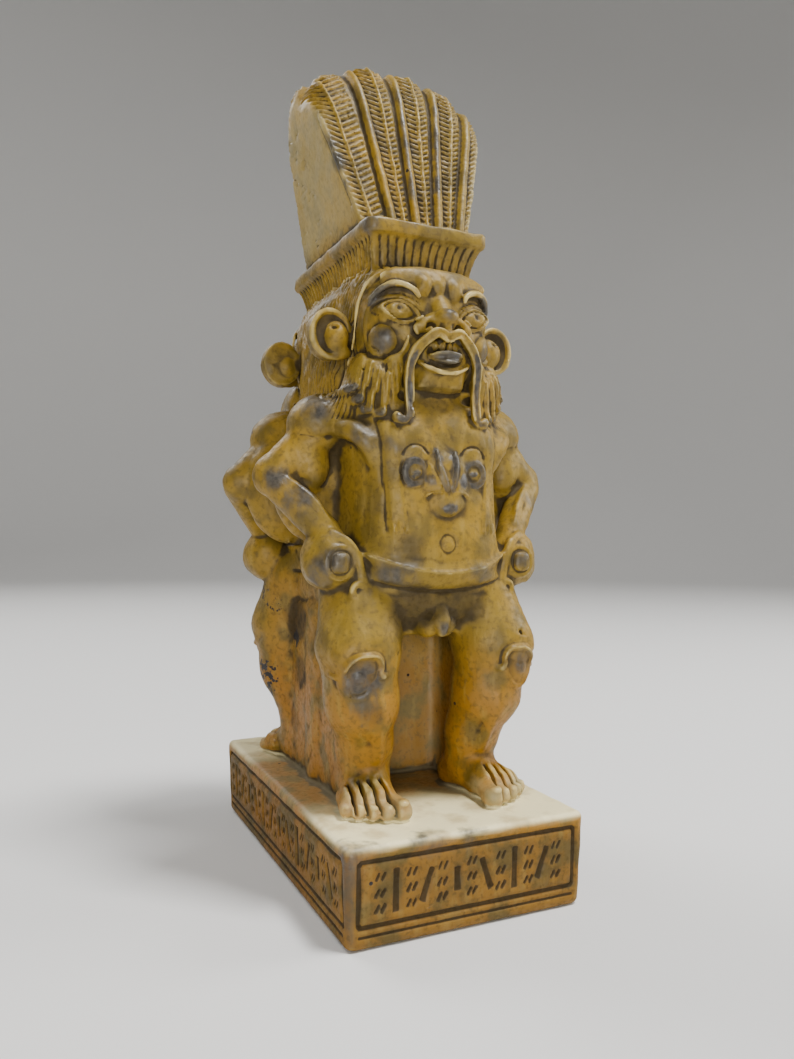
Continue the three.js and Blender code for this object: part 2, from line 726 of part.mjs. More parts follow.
function crownSolid() {
  const base = coveTop + corniceHeight;
  const spans = featherEdges.length - 1;
  const segments = [spans * stepsPerFeather, 2, 9];
  return bentBlock(segments, (u, v, t) => {
    const turn = v > 0 ? -1 : 1;
    const place = (turn * u + 1) / 2 * spans;
    const feather = Math.min(Math.floor(place + 1e-6), spans - 1);
    const within = place - feather;
    const side = mix(featherEdges[feather], featherEdges[feather + 1], within);
    const dome = Math.abs(2 * within - 1);
    const drop = crownSideDrop * Math.abs(turn * side - crownLean) ** 2.4 + crownNotch * dome ** 2.5;
    const up = 1 - (1 - t) ** 1.5;
    const height = (crownHeight - drop) * up;
    const share = height / crownHeight;
    const width = mix(corniceWidth / 2 - corniceLedge, crownTopWidth / 2, share);
    const wedge = mix(corniceDepth / 2 - crownLedge, crownTopThickness / 2, share);
    const over = Math.max(up - crownRoundingStart, 0) / (1 - crownRoundingStart);
    const depth = wedge * mix(0.22, 1, Math.sqrt(1 - over ** 2));
    const raised = (within < 0.1 && feather > 0 ? featherRib : 0) + (dome < 0.3 ? featherVein : 0);
    const relief = Math.abs(v) === 1 ? raised * Math.min(up * 12, 1) : 0;
    return [turn * side * width, v * depth + Math.sign(v) * relief, base + height - (t === 0 ? seam : 0)];
  });
}

// Plinth: a block with a rounded rim. A groove frames a panel on each side, and rows of shallow
// upright and slanting strokes fill the panels.
function panelBars(length) {
  const bottom = 1.5 * panelMargin;
  const top = plinthHeight - panelMargin;
  const half = length / 2 - panelMargin;
  const middle = (bottom + top) / 2;
  const bars = [
    [0, bottom, 0, 2 * half, panelGroove],
    [0, top, 0, 2 * half, panelGroove],
    [-half, middle, 0, panelGroove, top - bottom],
    [half, middle, 0, panelGroove, top - bottom],
  ];
  const inner = top - bottom - 2 * panelGroove - 2;
  const strokes = Math.floor((2 * half - 3 * panelGroove) / strokePitch);
  for (let n = 0; n < strokes; n += 1) {
    const along = (n - (strokes - 1) / 2) * strokePitch;
    const slant = [0, 0.35, 0, -0.35][n % 4];
    const tall = inner * [1, 0.8, 0.55, 0.8][n % 4];
    bars.push([along, middle, slant, strokeWidth, tall]);
  }
  return bars;
}

function plinthSolid() {
  const block = roundedSlab(plinthWidth, plinthDepth, plinthHeight, plinthCorner, plinthEdge);
  const { position } = block.attributes;
  for (let n = 0; n < position.count; n += 1) {
    const inset = 2 * plinthFootInset * (1 - position.getZ(n) / plinthHeight);
    position.setX(n, position.getX(n) * (1 - inset / plinthWidth));
    position.setY(n, position.getY(n) * (1 - inset / plinthDepth));
  }
  let plinth = solid(block);
  for (let turn = 0; turn < 4; turn += 1) {
    const [length, across] = turn % 2 === 0 ? [plinthWidth, plinthDepth] : [plinthDepth, plinthWidth];
    for (const [along, up, slant, width, height] of panelBars(length)) {
      const cutter = new THREE.BoxGeometry(width, 2 * panelGrooveDepth, height);
      cutter.rotateY(slant);
      cutter.translate(along, -across / 2, up);
      cutter.rotateZ(turn * Math.PI / 2);
      plinth = plinth.subtract(solid(cutter));
    }
  }
  return plinth;
}

function besFigure() {
  const figure = figureGeometry();
  const pieces = [solid(figure), solid(figure.clone().rotateZ(Math.PI))];
  pieces.push(coveSolid(), corniceSolid(), crownSolid(), plinthSolid());
  const whole = pieces.reduce((sum, piece) => sum.add(piece));
  const { vertProperties, triVerts } = whole.getMesh();
  const geometry = meshGeometry({ positions: [...vertProperties], triangles: [...triVerts] });
  const mesh = new THREE.Mesh(geometry, material);
  mesh.name = 'bes_figure';
  return mesh;
}

const group = new THREE.Group();
group.add(besFigure());

export default group;
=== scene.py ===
import math

import bpy
import numpy as np
from mathutils import Matrix, Vector


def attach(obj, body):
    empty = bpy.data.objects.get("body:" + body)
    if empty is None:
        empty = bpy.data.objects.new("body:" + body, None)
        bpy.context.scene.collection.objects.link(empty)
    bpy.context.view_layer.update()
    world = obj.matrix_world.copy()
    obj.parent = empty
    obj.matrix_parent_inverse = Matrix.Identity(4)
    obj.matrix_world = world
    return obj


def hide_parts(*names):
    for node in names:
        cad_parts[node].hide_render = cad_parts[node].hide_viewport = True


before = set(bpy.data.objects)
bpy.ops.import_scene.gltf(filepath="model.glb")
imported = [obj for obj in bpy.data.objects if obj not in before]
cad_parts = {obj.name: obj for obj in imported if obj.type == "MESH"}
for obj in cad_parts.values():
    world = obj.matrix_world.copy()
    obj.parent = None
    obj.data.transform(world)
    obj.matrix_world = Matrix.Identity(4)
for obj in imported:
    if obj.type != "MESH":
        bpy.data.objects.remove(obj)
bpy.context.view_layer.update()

# The whole figure is shaped as one block of clay: a grid of signed distances in millimetres,
# negative inside. Forms are joined to it, cut out of it, or raised and sunk as relief, and its
# zero surface becomes the mesh. The grid first holds a quarter, for the forms that are the same on
# the left and right, then the front half with its uneven crown and strokes, and last the whole:
# the rear half is the front one turned half round.

MM = 0.001
GRID = 0.4
FACES = 196000
MARGIN = 3.2
EMPTY = 9.0
GRID_HALF_WIDTH = 41.2
GRID_ROOM = 1.2

# Main sizes, the same as the solid's
PLINTH = (59.2, 100.3, 21.4)
PLINTH_EDGE = 1.7
PLINTH_INSET = 0.8
FIGURE = 126.0
SOLES = PLINTH[2]
COVE_HEIGHT = 8.4
CORNICE = (32.3, 57.2, 3.4)
CORNICE_LEDGE = 1.6
CROWN_HEIGHT = 49.9
CROWN_SIDE_DROP = 12.0
CROWN_LEAN = 0.05
CROWN_TOP = (57.4, 13.0)
CROWN_LEDGE = 7.2
CROWN_NOTCH = 1.8
COVE_SETBACK = 0.9
COVE_FOOT = (13.4, 24.6)
COVE_REEDS = (13, 27)
PANEL_MARGIN = 3.2
PANEL_GROOVE = 1.1
PANEL_DEPTH = 0.7
STROKE_WIDTH = 1.5
STROKE_PITCH = 7.2
HAIR_PITCH = 1.35
FEATHERS = (-1, -0.46, -0.03, 0.38, 0.79, 1)
COVE_TOP = SOLES + FIGURE + COVE_HEIGHT
CROWN_BASE = COVE_TOP + CORNICE[2]


def mix(a, b, share):
    return a + (b - a) * share


def smooth(low, high, value):
    share = np.clip((value - low) / (high - low), 0, 1)
    return share * share * (3 - 2 * share)


def hump(away, width):
    return np.exp(-(away / width) ** 2)


def join(a, b, blend):
    overlap = np.maximum(blend - np.abs(a - b), 0)
    return np.minimum(a, b) - overlap * overlap / (4 * blend)


# Forms. Each is a distance function with the box that holds it.


class Form:
    def __init__(self, distance, low, high):
        self.distance = distance
        self.low = np.array(low, float)
        self.high = np.array(high, float)


def egg(centre, radii):
    cx, cy, cz = centre
    rx, ry, rz = radii

    def distance(x, y, z):
        a, b, c = (x - cx) / rx, (y - cy) / ry, (z - cz) / rz
        scaled = np.sqrt(a * a + b * b + c * c)
        slope = np.sqrt((a / rx) ** 2 + (b / ry) ** 2 + (c / rz) ** 2)
        return scaled * (scaled - 1) / np.maximum(slope, 1e-3)

    centre, radii = np.array(centre), np.array(radii)
    return Form(distance, centre - radii, centre + radii)


def limb(start, end, start_radius, end_radius):
    dx, dy, dz = (b - a for a, b in zip(start, end))
    square = dx * dx + dy * dy + dz * dz

    def distance(x, y, z):
        px, py, pz = x - start[0], y - start[1], z - start[2]
        along = np.clip((px * dx + py * dy + pz * dz) / square, 0, 1)
        away = np.sqrt((px - dx * along) ** 2 + (py - dy * along) ** 2 + (pz - dz * along) ** 2)
        return away - mix(start_radius, end_radius, along)

    ends = np.array([start, end])
    radius = max(start_radius, end_radius)
    return Form(distance, ends.min(0) - radius, ends.max(0) + radius)


def strand(points, *radii):
    """A bent rod through points; its radii, one or more, are spread evenly along it."""
    shares = np.linspace(0, 1, len(points))
    known = np.linspace(0, 1, len(radii)) if len(radii) > 1 else np.array([0.0])
    sizes = np.interp(shares, known, radii)
    parts = [limb(a, b, ra, rb) for a, b, ra, rb in zip(points, points[1:], sizes, sizes[1:])]

    def distance(x, y, z):
        nearest = parts[0].distance(x, y, z)
        for part in parts[1:]:
            nearest = np.minimum(nearest, part.distance(x, y, z))
        return nearest

    return Form(distance, np.min([p.low for p in parts], 0), np.max([p.high for p in parts], 0))


def rod(points, *radii):
    """The same, with a smooth line."""
    return strand(curve(points), *radii)


def curve(points, steps=5):
    """Points of a smooth curve through the given ones."""
    points = np.array(points, float)
    padded = np.vstack([2 * points[0] - points[1], points, 2 * points[-1] - points[-2]])
    out = []
    for i in range(1, len(padded) - 2):
        a, b, c, d = padded[i - 1:i + 3]
        for t in np.arange(steps) / steps:
            out.append(0.5 * (2 * b + (c - a) * t + (2 * a - 5 * b + 4 * c - d) * t ** 2
                              + (3 * b - a - 3 * c + d) * t ** 3))
    out.append(points[-1])
    return [tuple(p) for p in out]


def column(stations, middle, power):
    """A body whose rounded-square section changes with height: [up, half width, front]."""
    ups, widths, fronts = (np.array(row, np.float32) for row in zip(*stations))

    def distance(x, y, z):
        i = np.clip(np.searchsorted(ups, z.ravel(), side="left"), 1, len(ups) - 1)
        share = np.clip((z.ravel() - ups[i - 1]) / (ups[i] - ups[i - 1]), 0, 1)
        share = share * share * (3 - 2 * share)
        width = mix(widths[i - 1], widths[i], share).reshape(z.shape)
        depth = mix(fronts[i - 1], fronts[i], share).reshape(z.shape) - middle
        across = (np.abs(x) / width) ** power
        along = (np.abs(y - middle) / depth) ** power
        wall = ((across + along) ** (1 / power) - 1) * np.minimum(width, depth)
        return np.maximum(wall, np.maximum(ups[0] - z, z - ups[-1]))

    reach = fronts.max()
    return Form(distance, (-widths.max(), 2 * middle - reach, ups[0]), (widths.max(), reach, ups[-1]))


def ring(centre, radius, thickness, tall=1.0):
    """An upright ring that faces forwards; tall stretches it upwards."""
    cx, cy, cz = centre

    def distance(x, y, z):
        around = np.sqrt((x - cx) ** 2 + ((z - cz) / tall) ** 2) - radius
        return np.sqrt(around ** 2 + (y - cy) ** 2) - thickness

    out = np.array([radius + thickness, thickness, (radius + thickness) * tall])
    return Form(distance, np.array(centre) - out, np.array(centre) + out)


class Clay:
    def __init__(self, low, high, step):
        self.low = np.array(low, float)
        self.step = step
        counts = np.ceil((np.array(high) - self.low) / step).astype(int) + 1
        self.axes = [(a + step * np.arange(n)).astype(np.float32) for a, n in zip(low, counts)]
        self.values = np.full(counts, EMPTY, np.float32)

    def window(self, low, high, margin=MARGIN):
        cut = tuple(slice(np.searchsorted(axis, a - margin), np.searchsorted(axis, b + margin))
                    for axis, a, b in zip(self.axes, low, high))
        x, y, z = (axis[part] for axis, part in zip(self.axes, cut))
        return cut, (x[:, None, None], y[None, :, None], z[None, None, :])

    def add(self, form, blend):
        cut, place = self.window(form.low, form.high)
        self.values[cut] = join(self.values[cut], form.distance(*place).astype(np.float32), blend)

    def cut(self, form, blend):
        cut, place = self.window(form.low, form.high)
        self.values[cut] = -join(-self.values[cut], form.distance(*place).astype(np.float32), blend)

    def emboss(self, low, high, height, near=3.0):
        """Raises the surface by height(x, y, z), or sinks it where that is negative."""
        cut, place = self.window(low, high, 0)
        value = self.values[cut]
        self.values[cut] = value - (height(*place) * (np.abs(value) < near)).astype(np.float32)

    def even(self, low, high):
        """Makes values near the surface true distances again, so that relief has its own depth."""
        cut, _ = self.window(low, high, 0)
        value = self.values[cut]
        slope = np.sqrt(sum(g * g for g in np.gradient(value, self.step)))
        self.values[cut] = value / np.clip(slope, 0.25, 2.5)

    def doubled(self, axis, also_flipped=()):
        """The clay with its copy on the far side of zero along one axis, flipped there as asked."""
        whole = Clay.__new__(Clay)
        whole.step = self.step
        copy = np.flip(self.values, (axis, *also_flipped))
        whole.values = np.concatenate([np.delete(copy, -1, axis), self.values], axis)
        whole.axes = list(self.axes)
        whole.axes[axis] = np.concatenate([-self.axes[axis][:0:-1], self.axes[axis]])
        whole.low = np.array([a[0] for a in whole.axes], float)
        return whole

    def sample(self, values, points):
        """Values between grid points, by trilinear mixing."""
        place = (points - self.low) / self.step
        top = np.array(values.shape) - 2
        first = np.clip(np.floor(place).astype(int), 0, top)
        share = np.clip(place - first, 0, 1)
        total = np.zeros(len(points))
        for corner in np.ndindex(2, 2, 2):
            weight = np.prod(np.where(corner, share, 1 - share), 1)
            i, j, k = (first + corner).T
            total += weight * values[i, j, k]
        return total

    def crossings(self, cells):
        """For each cell, the mean of the places where the surface crosses its edges."""
        corners = {c: self.values[tuple((cells + c).T)] for c in np.ndindex(2, 2, 2)}
        sums = np.zeros((len(cells), 3))
        hits = np.zeros(len(cells))
        for c in corners:
            for axis in [i for i in range(3) if not c[i]]:
                far = tuple(1 if i == axis else c[i] for i in range(3))
                a, b = corners[c], corners[far]
                hit = (a < 0) != (b < 0)
                at = np.tile(np.array(c, float), (len(cells), 1))
                at[hit, axis] = a[hit] / (a[hit] - b[hit])
                sums[hit] += at[hit]
                hits += hit
        return self.low + self.step * (cells + sums / hits[:, None])

    def skin(self):
        """The zero surface as vertices and four-cornered faces, one vertex to each crossed cell."""
        inside = self.values < 0
        n = np.array(inside.shape) - 1
        filled = np.zeros(n, np.uint8)
        for dx, dy, dz in np.ndindex(2, 2, 2):
            filled += inside[dx:n[0] + dx, dy:n[1] + dy, dz:n[2] + dz]
        crossed = (filled > 0) & (filled < 8)
        number = np.full(n, -1, np.int32)
        cells = np.argwhere(crossed)
        number[crossed] = np.arange(len(cells))
        faces = []
        for axis in range(3):
            one, two = [i for i in range(3) if i != axis]
            here = inside[tuple(slice(1, -1) if i != axis else slice(0, -1) for i in range(3))]
            there = inside[tuple(slice(1, -1) if i != axis else slice(1, None) for i in range(3))]
            for leaving in (True, False):
                at = np.argwhere((here & ~there) if leaving else (~here & there))
                at[:, one] += 1
                at[:, two] += 1
                around = []
                for a, b in ((0, 0), (1, 0), (1, 1), (0, 1)):
                    cell = at.copy()
                    cell[:, one] -= a
                    cell[:, two] -= b
                    around.append(number[tuple(cell.T)])
                quad = np.stack(around, 1)
                faces.append(quad if leaving == (axis != 1) else quad[:, ::-1])
        return self.crossings(cells), np.concatenate(faces)


# Places are [side, front, up]: the distance from the figure's middle line, the distance before the
# plane between the two figures, and the height above the soles.

def shape_body(clay):
    clay.add(column([
        (40, 16.5, 30), (49, 19.6, 34.5), (54, 19.8, 37.6), (61, 19.8, 38.3), (69, 19.4, 37.4),
        (79, 19.4, 36.6), (87, 20, 35.6), (95, 19, 33.4), (102, 15, 29)], 9, 3.4), 0.5)
    clay.add(egg((8.5, 28, 84), (7.6, 7.9, 6.4)), 3)
    clay.add(egg((0, 17, 47.5), (17, 17.4, 9)), 2)
    belly = strand([(0, 37.6, 55.2), (9, 37, 56), (16, 32.4, 58.6), (19.4, 26, 60)], 0.8)
    clay.add(belly, 1.6)


def belt_edges(x):
    """The heights of the belt's lower and upper edge: it rises towards the hips."""
    rise = (x / 18) ** 2
    return 50.8 + 2.6 * rise, 55.1 + 4.2 * rise


def shape_belt(clay):
    def band(x, y, z):
        low, high = belt_edges(x)
        return 0.4 * smooth(-0.15, 0.3, np.minimum(z - low, high - z)) + 0.35 * hump(z - high + 0.5, 0.45)

    clay.even((0, 0, 46), (30, 44, 64))
    clay.emboss((0, 0, 48), (30, 44, 62), band)
    line = [(x, 45, belt_edges(x)[0] - 0.4) for x in np.arange(0, 21, 2.0)]
    engrave(clay, line, 0.45, -0.6, 0)


def engrave(clay, line, width, height, back):
    """Raises a line seen from the front, or sinks it, on all that is farther forward than back."""
    flat = np.array([(p[0], p[2]) for p in line], np.float32)
    low = (flat[:, 0].min() - 3 * width, back, flat[:, 1].min() - 3 * width)
    high = (flat[:, 0].max() + 3 * width, 60, flat[:, 1].max() + 3 * width)

    def relief(x, y, z):
        nearest = np.full((x.shape[0], 1, z.shape[2]), 99.0, np.float32)
        for (ax, az), (bx, bz) in zip(flat, flat[1:]):
            dx, dz = bx - ax, bz - az
            along = np.clip(((x - ax) * dx + (z - az) * dz) / (dx * dx + dz * dz), 0, 1)
            away = np.sqrt((x - ax - dx * along) ** 2 + (z - az - dz * along) ** 2)
            nearest = np.minimum(nearest, away)
        return height * hump(nearest, width)

    clay.emboss(low, high, relief)


def shape_chest(clay):
    # the skin strips hanging at both sides of the chest, with their ragged lower ends
    def strip(x, y, z):
        share = np.clip((z - 63.6) / 24, 0, 1)
        middle = mix(11.4, 13.4, share)
        half = mix(2.1, 1.6, smooth(0, 0.4, share))
        inside = np.minimum(half - np.abs(x - middle), np.minimum(z - 63.6, 89 - z))
        fringe = 0.22 * np.cos((x - middle) * 5) * smooth(68, 64.5, z)
        line = -0.3 * hump(x - middle - half - 0.3, 0.3) * smooth(62.6, 64, z)
        return (0.26 + fringe) * smooth(-0.15, 0.35, inside) + line

    clay.emboss((7, 22, 61), (17, 44, 91), strip)
    turns = np.linspace(0.1, 0.86, 12) * math.pi
    arc = [(7.4 + 3.3 * math.cos(a), 36, 80.6 + 3.4 * math.sin(a)) for a in turns]
    engrave(clay, arc, 0.4, -0.5, 23)
    clay.cut(egg((0, 39.4, 61.4), (2, 1.4, 2.1)), 0.3)
    turns = np.linspace(0, 2, 25) * math.pi
    navel = [(1.9 * math.sin(a), 38, 61.3 + 2.1 * math.cos(a)) for a in turns]
    engrave(clay, navel, 0.4, -0.45, 23)
    engrave(clay, [(0.6, 38, 60.9), (-0.2, 38, 60.7)], 0.9, 0.35, 23)
    side = curve([(17.2, 30, 87), (16.4, 30, 82), (16.7, 30, 75), (17.1, 30, 68), (16.9, 30, 62.5)])
    engrave(clay, side, 0.4, -0.22, 17)


PENDANT_STRIPES = (
    ((2.3, 36.8, 82.6), (2.2, 37.8, 79.4), (1.6, 38.5, 76.6), (0.6, 38.9, 73.8)),
    ((4.2, 36.2, 80.6), (4.1, 37.2, 78.6), (3.3, 38, 76.2), (2.1, 38.6, 74)),
)


def shape_pendant(clay):
    # a small animal mask: ringed ears, a striped forehead, slit eyes and a blunt muzzle
    clay.add(egg((0, 35.6, 77), (5.6, 2.6, 5.4)), 0.8)
    clay.add(egg((0, 36.2, 74.6), (5.4, 2.6, 3.4)), 1.2)
    clay.add(egg((0, 36.6, 70.9), (4.3, 2.6, 3.5)), 0.8)
    clay.add(egg((0, 38, 69.4), (2.4, 1.8, 1.8)), 0.6)
    clay.add(egg((3.9, 36.6, 75.8), (1.7, 1.5, 2.2)), 0.6)
    clay.add(strand(curve(PENDANT_STRIPES[0], 3), 0.4, 0.75, 0.75, 0.5), 0.3)
    clay.add(strand(curve(PENDANT_STRIPES[1], 3), 0.25, 0.4, 0.45, 0.3), 0.3)
    clay.add(egg((7.6, 35.2, 77.6), (2.8, 1.6, 3)), 0.4)
    clay.add(ring((7.7, 36.2, 77.6), 2.5, 0.72, 1.1), 0.2)
    clay.add(egg((7.3, 36.6, 77.5), (1.3, 0.8, 0.6)), 0.1)
    slit = curve([(1.3, 39.6, 73.4), (2.6, 39.4, 73.9), (4.1, 38.9, 73.8), (5.3, 38.2, 73.2)])
    clay.cut(strand(slit, 0.45), 0.15)
    clay.add(strand([(a, b - 0.85, c - 0.85) for a, b, c in slit], 0.35), 0.15)
    clay.cut(rod([(0, 40, 67.7), (1.6, 39.6, 67.9), (3, 38.8, 68.9)], 0.4), 0.15)
    clay.cut(strand([(2.2, 39.7, 72.6), (2.1, 39.6, 71), (2.6, 39, 69.8)], 0.35), 0.15)
    clay.cut(egg((1, 40, 69.5), (0.45, 0.7, 0.35)), 0.1)


def shape_arms(clay):
    clay.add(egg((24.8, 16.5, 89.2), (6.8, 6.8, 6.9)), 1.5)
    clay.add(limb((8, 15, 92), (21, 15.5, 91), 8, 6), 4)
    clay.add(limb((13, 25, 90), (21, 19.6, 90.6), 5.4, 5), 1.5)
    clay.add(egg((22, 12, 76), (12, 6.6, 15)), 2)
    clay.add(limb((26.6, 16.2, 85), (33.6, 15.4, 78), 5.2, 4.8), 1)
    clay.add(egg((26.4, 17.6, 80), (4.6, 4.6, 7)), 1)
    clay.add(egg((35.2, 15, 77), (4.3, 4.2, 4.6)), 1.6)
    clay.add(strand([(34.8, 17, 75.5), (30, 20.5, 70), (25, 24.8, 63.8)], 3.6, 3.9, 3.6), 1.2)
    ridge = [(34.4, 18.8, 77.4), (31, 21.8, 74.4), (28, 24.2, 71.2), (25, 27, 66.4)]
    clay.add(rod(ridge, 0.7, 1.1, 1.2, 0.8), 0.6)
    arc = curve([(29, 22, 76.6), (26, 22.4, 74.6), (23.2, 23.4, 75.4), (21.6, 24, 78.6)])
    engrave(clay, arc, 0.4, -0.4, 13)
    engrave(clay, [(22.4, 22, 86.4), (26, 22, 86), (29.6, 20, 86.6)], 0.4, -0.35, 13)
    # the fold of the chest over the armpit, worn bright along its lower edge
    fold = curve([(22, 23.8, 88.4), (19.8, 28.2, 87), (17.4, 30.8, 84.2), (16, 31.2, 80.4)])
    clay.add(strand(fold, 2, 2.4, 2.2, 1), 2)
    under = [(a + 1.6, b - 1, c - 2.8) for a, b, c in fold]
    clay.cut(strand(under, 0.7, 0.9, 0.6), 1)


def shape_fists(clay):
    clay.add(egg((24.6, 25.2, 57.6), (6.3, 6.6, 7.2)), 0.8)
    clay.add(limb((24.6, 26.4, 60.6), (20.6, 28, 54.6), 4, 3.4), 1.2)
    clay.add(egg((24, 27.4, 56.6), (5, 4.6, 5.2)), 1)
    # the thumb's straight edge on the inner side and the roll of fingers round the outer one
    thumb = [(24.9, 29.1, 64), (21.5, 30.7, 61.6), (19.4, 31.4, 57.6), (18.4, 31.4, 52.6)]
    clay.add(rod(thumb, 0.6, 1, 1, 0.8), 1.2)
    fingers = [(27.6, 28.8, 61.6), (29.6, 27, 58.4), (29.2, 27.2, 54.8), (26.8, 28.8, 52.4)]
    clay.add(rod(fingers, 0.5, 1, 1.2, 0.8), 1)
    clay.cut(ring((23.9, 31.9, 57), 2.55, 0.4, 1.1), 0.3)
    clay.add(ring((23.9, 31.2, 57), 3.3, 0.55, 1.1), 0.35)

    def boss(x, y, z):
        reach = (np.abs((x - 23.9) / 2.1) ** 3 + np.abs((z - 57) / 2.3) ** 3) ** (1 / 3)
        return np.maximum((reach - 1) * 2.1, y - 33.1 + 0.5 * reach ** 2)

    clay.add(Form(boss, (21.8, 29, 54.7), (26, 33.2, 59.3)), 0.4)


def shape_legs(clay):
    clay.add(limb((14.5, 22, 51), (17.7, 27.6, 38), 10.4, 9.6), 1.5)
    clay.add(limb((17.9, 27.6, 37), (16.6, 27.2, 24.6), 8.9, 8.2), 3)
    clay.add(limb((16.6, 26.6, 25), (14.5, 24, 15), 8.1, 6.2), 3)
    clay.add(limb((14.5, 24, 15), (14.2, 22.4, 7), 6.1, 5.9), 3)
    clay.add(egg((20.2, 32.6, 36.4), (6.2, 4.8, 5.8)), 1.6)
    # the small loop that hangs under the fist
    clay.add(ring((19.6, 31.8, 50.6), 1.4, 0.75, 1.1), 0.3)
    # kneecap: a worn shield under a rounded ridge, with a knob on each side and a fold below it
    clay.add(egg((20.4, 33.2, 31.6), (4.7, 3.3, 5.6)), 0.7)
    clay.even((10, 20, 20), (30, 44, 44))

    def shield(x, y, z):
        half = mix(2.5, 4.1, smooth(27, 34.6, z))
        a = (x - 20.4 + (y - 36) * 0.25 + 0.1 * (z - 32)) / half
        b = (z - 32) / np.where(z > 32, 4.7, 4.9)
        reach = (np.abs(a) ** 2.6 + np.abs(b) ** 2.6) ** (1 / 2.6)
        ridge = 0.8 * hump(reach - 1.02, 0.12) * smooth(-0.1, 0.4, b)
        fold = 0.45 * hump(reach - 1.06, 0.1) * smooth(-0.5, -0.9, b)
        sunk = -0.3 * smooth(1.0, 0.85, reach)
        gully = -0.3 * hump(reach - 1.26, 0.12) * smooth(0, 0.4, b)
        boss = np.sqrt(((x - 21) / 1.5) ** 2 + ((z - 31.6) / 1.4) ** 2)
        boss = 0.45 * smooth(1.15, 0.75, boss) - 0.15 * smooth(0.6, 0.2, boss)
        return (ridge + fold + sunk + gully + boss) * smooth(26, 30, y)

    clay.emboss((12, 26, 24), (28, 44, 41), shield, 2.5)
    clay.add(strand([(24.3, 34.4, 33), (25.2, 33, 31.8), (25.9, 31, 32)], 0.7, 0.9, 0.6), 0.4)
    clay.add(strand([(16.3, 36.9, 33), (15.5, 36.6, 31.9), (14.3, 35.6, 31.9)], 0.65, 0.8, 0.6), 0.5)
    clay.add(rod([(15.8, 35, 25), (14.6, 33.4, 19), (13.6, 30.4, 12)], 0.5, 1, 0.5), 2.6)
    # the crease behind the knee
    crease = [(21, 10, 35.6), (24.8, 15.6, 36.4), (26.8, 21.6, 35), (26.8, 27.6, 32)]
    clay.cut(rod(crease, 1.6, 1.1, 0.8, 0.35), 1.2)


def shape_wall(clay):
    clay.add(column([(-1, 17.6, 4), (44, 17.2, 4), (52, 17.5, 4.6)], 0, 4), 1)

    def web(x, y, z):
        height = np.clip(z, 0, 44)
        return limb((16.6, 21, 0), (17, -1, 0), 2.6, 2.2).distance(x, y, z - height)

    clay.add(Form(web, (14, -3, -3), (20, 24, 47)), 3.2)


# Each toe from its root to its tip, with its radius, the big one first
TOES = (
    ((12.9, 33, 2.9), (11.9, 38.8, 2.3), 2.5),
    ((15.5, 33, 2.8), (15.1, 38.2, 2.1), 1.8),
    ((17.7, 32.2, 2.7), (18, 36.9, 2.0), 1.72),
    ((19.8, 30.8, 2.5), (20.5, 35.1, 1.9), 1.66),
    ((21.6, 28.8, 2.4), (22.6, 32.8, 1.8), 1.55),
)


def shape_toe(clay, start, end, radius):
    back = (mix(start[0], end[0], -0.5), start[1] - 3, start[2] + 0.8)
    clay.add(strand([back, start, end], radius * 0.9, radius, radius), 0.5)
    along = np.subtract(end, start) / math.dist(start, end)
    joint = np.add(start, along * 2.6) + (0, 0, 0.25)
    clay.add(egg(joint, (radius * 0.9, 0.8, radius)), 0.3)
    nail = np.add(end, along * (radius * 0.25)) + (0, 0, radius * 0.8)
    clay.add(egg(nail, (radius * 0.6, radius * 0.75, radius * 0.34)), 0.05)


def cut_toe_gap(clay, inner, outer):
    """The slot between two toes, shallow at the back and deep at the tips."""
    (start, end, _), (start2, end2, _) = inner, outer
    back = ((start[0] + start2[0]) / 2 - 0.2, (start[1] + start2[1]) / 2 - 2)
    front = ((end[0] + end2[0]) / 2, (end[1] + end2[1]) / 2 + 3)
    gap = limb((*back, 0), (*front, 0), 0.5, 0.36)

    def slot(x, y, z):
        floor = mix(4.6, 1.4, smooth(back[1] - 0.5, back[1] + 1.6, y))
        return np.maximum(gap.distance(x, y, 0 * z), floor - z)

    low = (min(back[0], front[0]) - 0.7, back[1] - 0.7, 1)
    clay.cut(Form(slot, low, (max(back[0], front[0]) + 0.7, front[1] + 0.7, 8)), 0.15)


def shape_feet(clay):
    clay.add(limb((14, 18, 3.5), (14.6, 24, 5), 5.4, 5.6), 1.5)
    clay.add(limb((14.4, 24, 6), (13.9, 33, 3.6), 5, 3.2), 2)
    clay.add(limb((15.6, 23, 4), (19.6, 30.6, 3), 4.6, 2.9), 2)
    clay.add(egg((16.8, 30, 2.8), (6.2, 6.4, 4.2)), 1.5)
    for toe in TOES:
        shape_toe(clay, *toe)
    for inner, outer in zip(TOES, TOES[1:]):
        cut_toe_gap(clay, inner, outer)


def shape_groin(clay):
    clay.add(egg((2, 31.4, 42.2), (3, 3.5, 2.9)), 1)
    clay.add(strand([(0, 32.8, 46.6), (0.4, 34.4, 43.4), (0, 35, 41.4)], 2, 2.1, 1.6), 0.6)
    clay.cut(ring((0, 36.5, 41.4), 1.6, 0.3, 0.5), 0.2)


HAIRLINE = curve([(19.6, 21.4, 94), (18.8, 22, 100), (17.9, 23.2, 107), (17.5, 24, 113), (17, 25, 118.4),
                  (15, 27, 122.8), (10, 29.4, 125.2), (4, 30.4, 125.6), (0, 30.6, 125.2)])


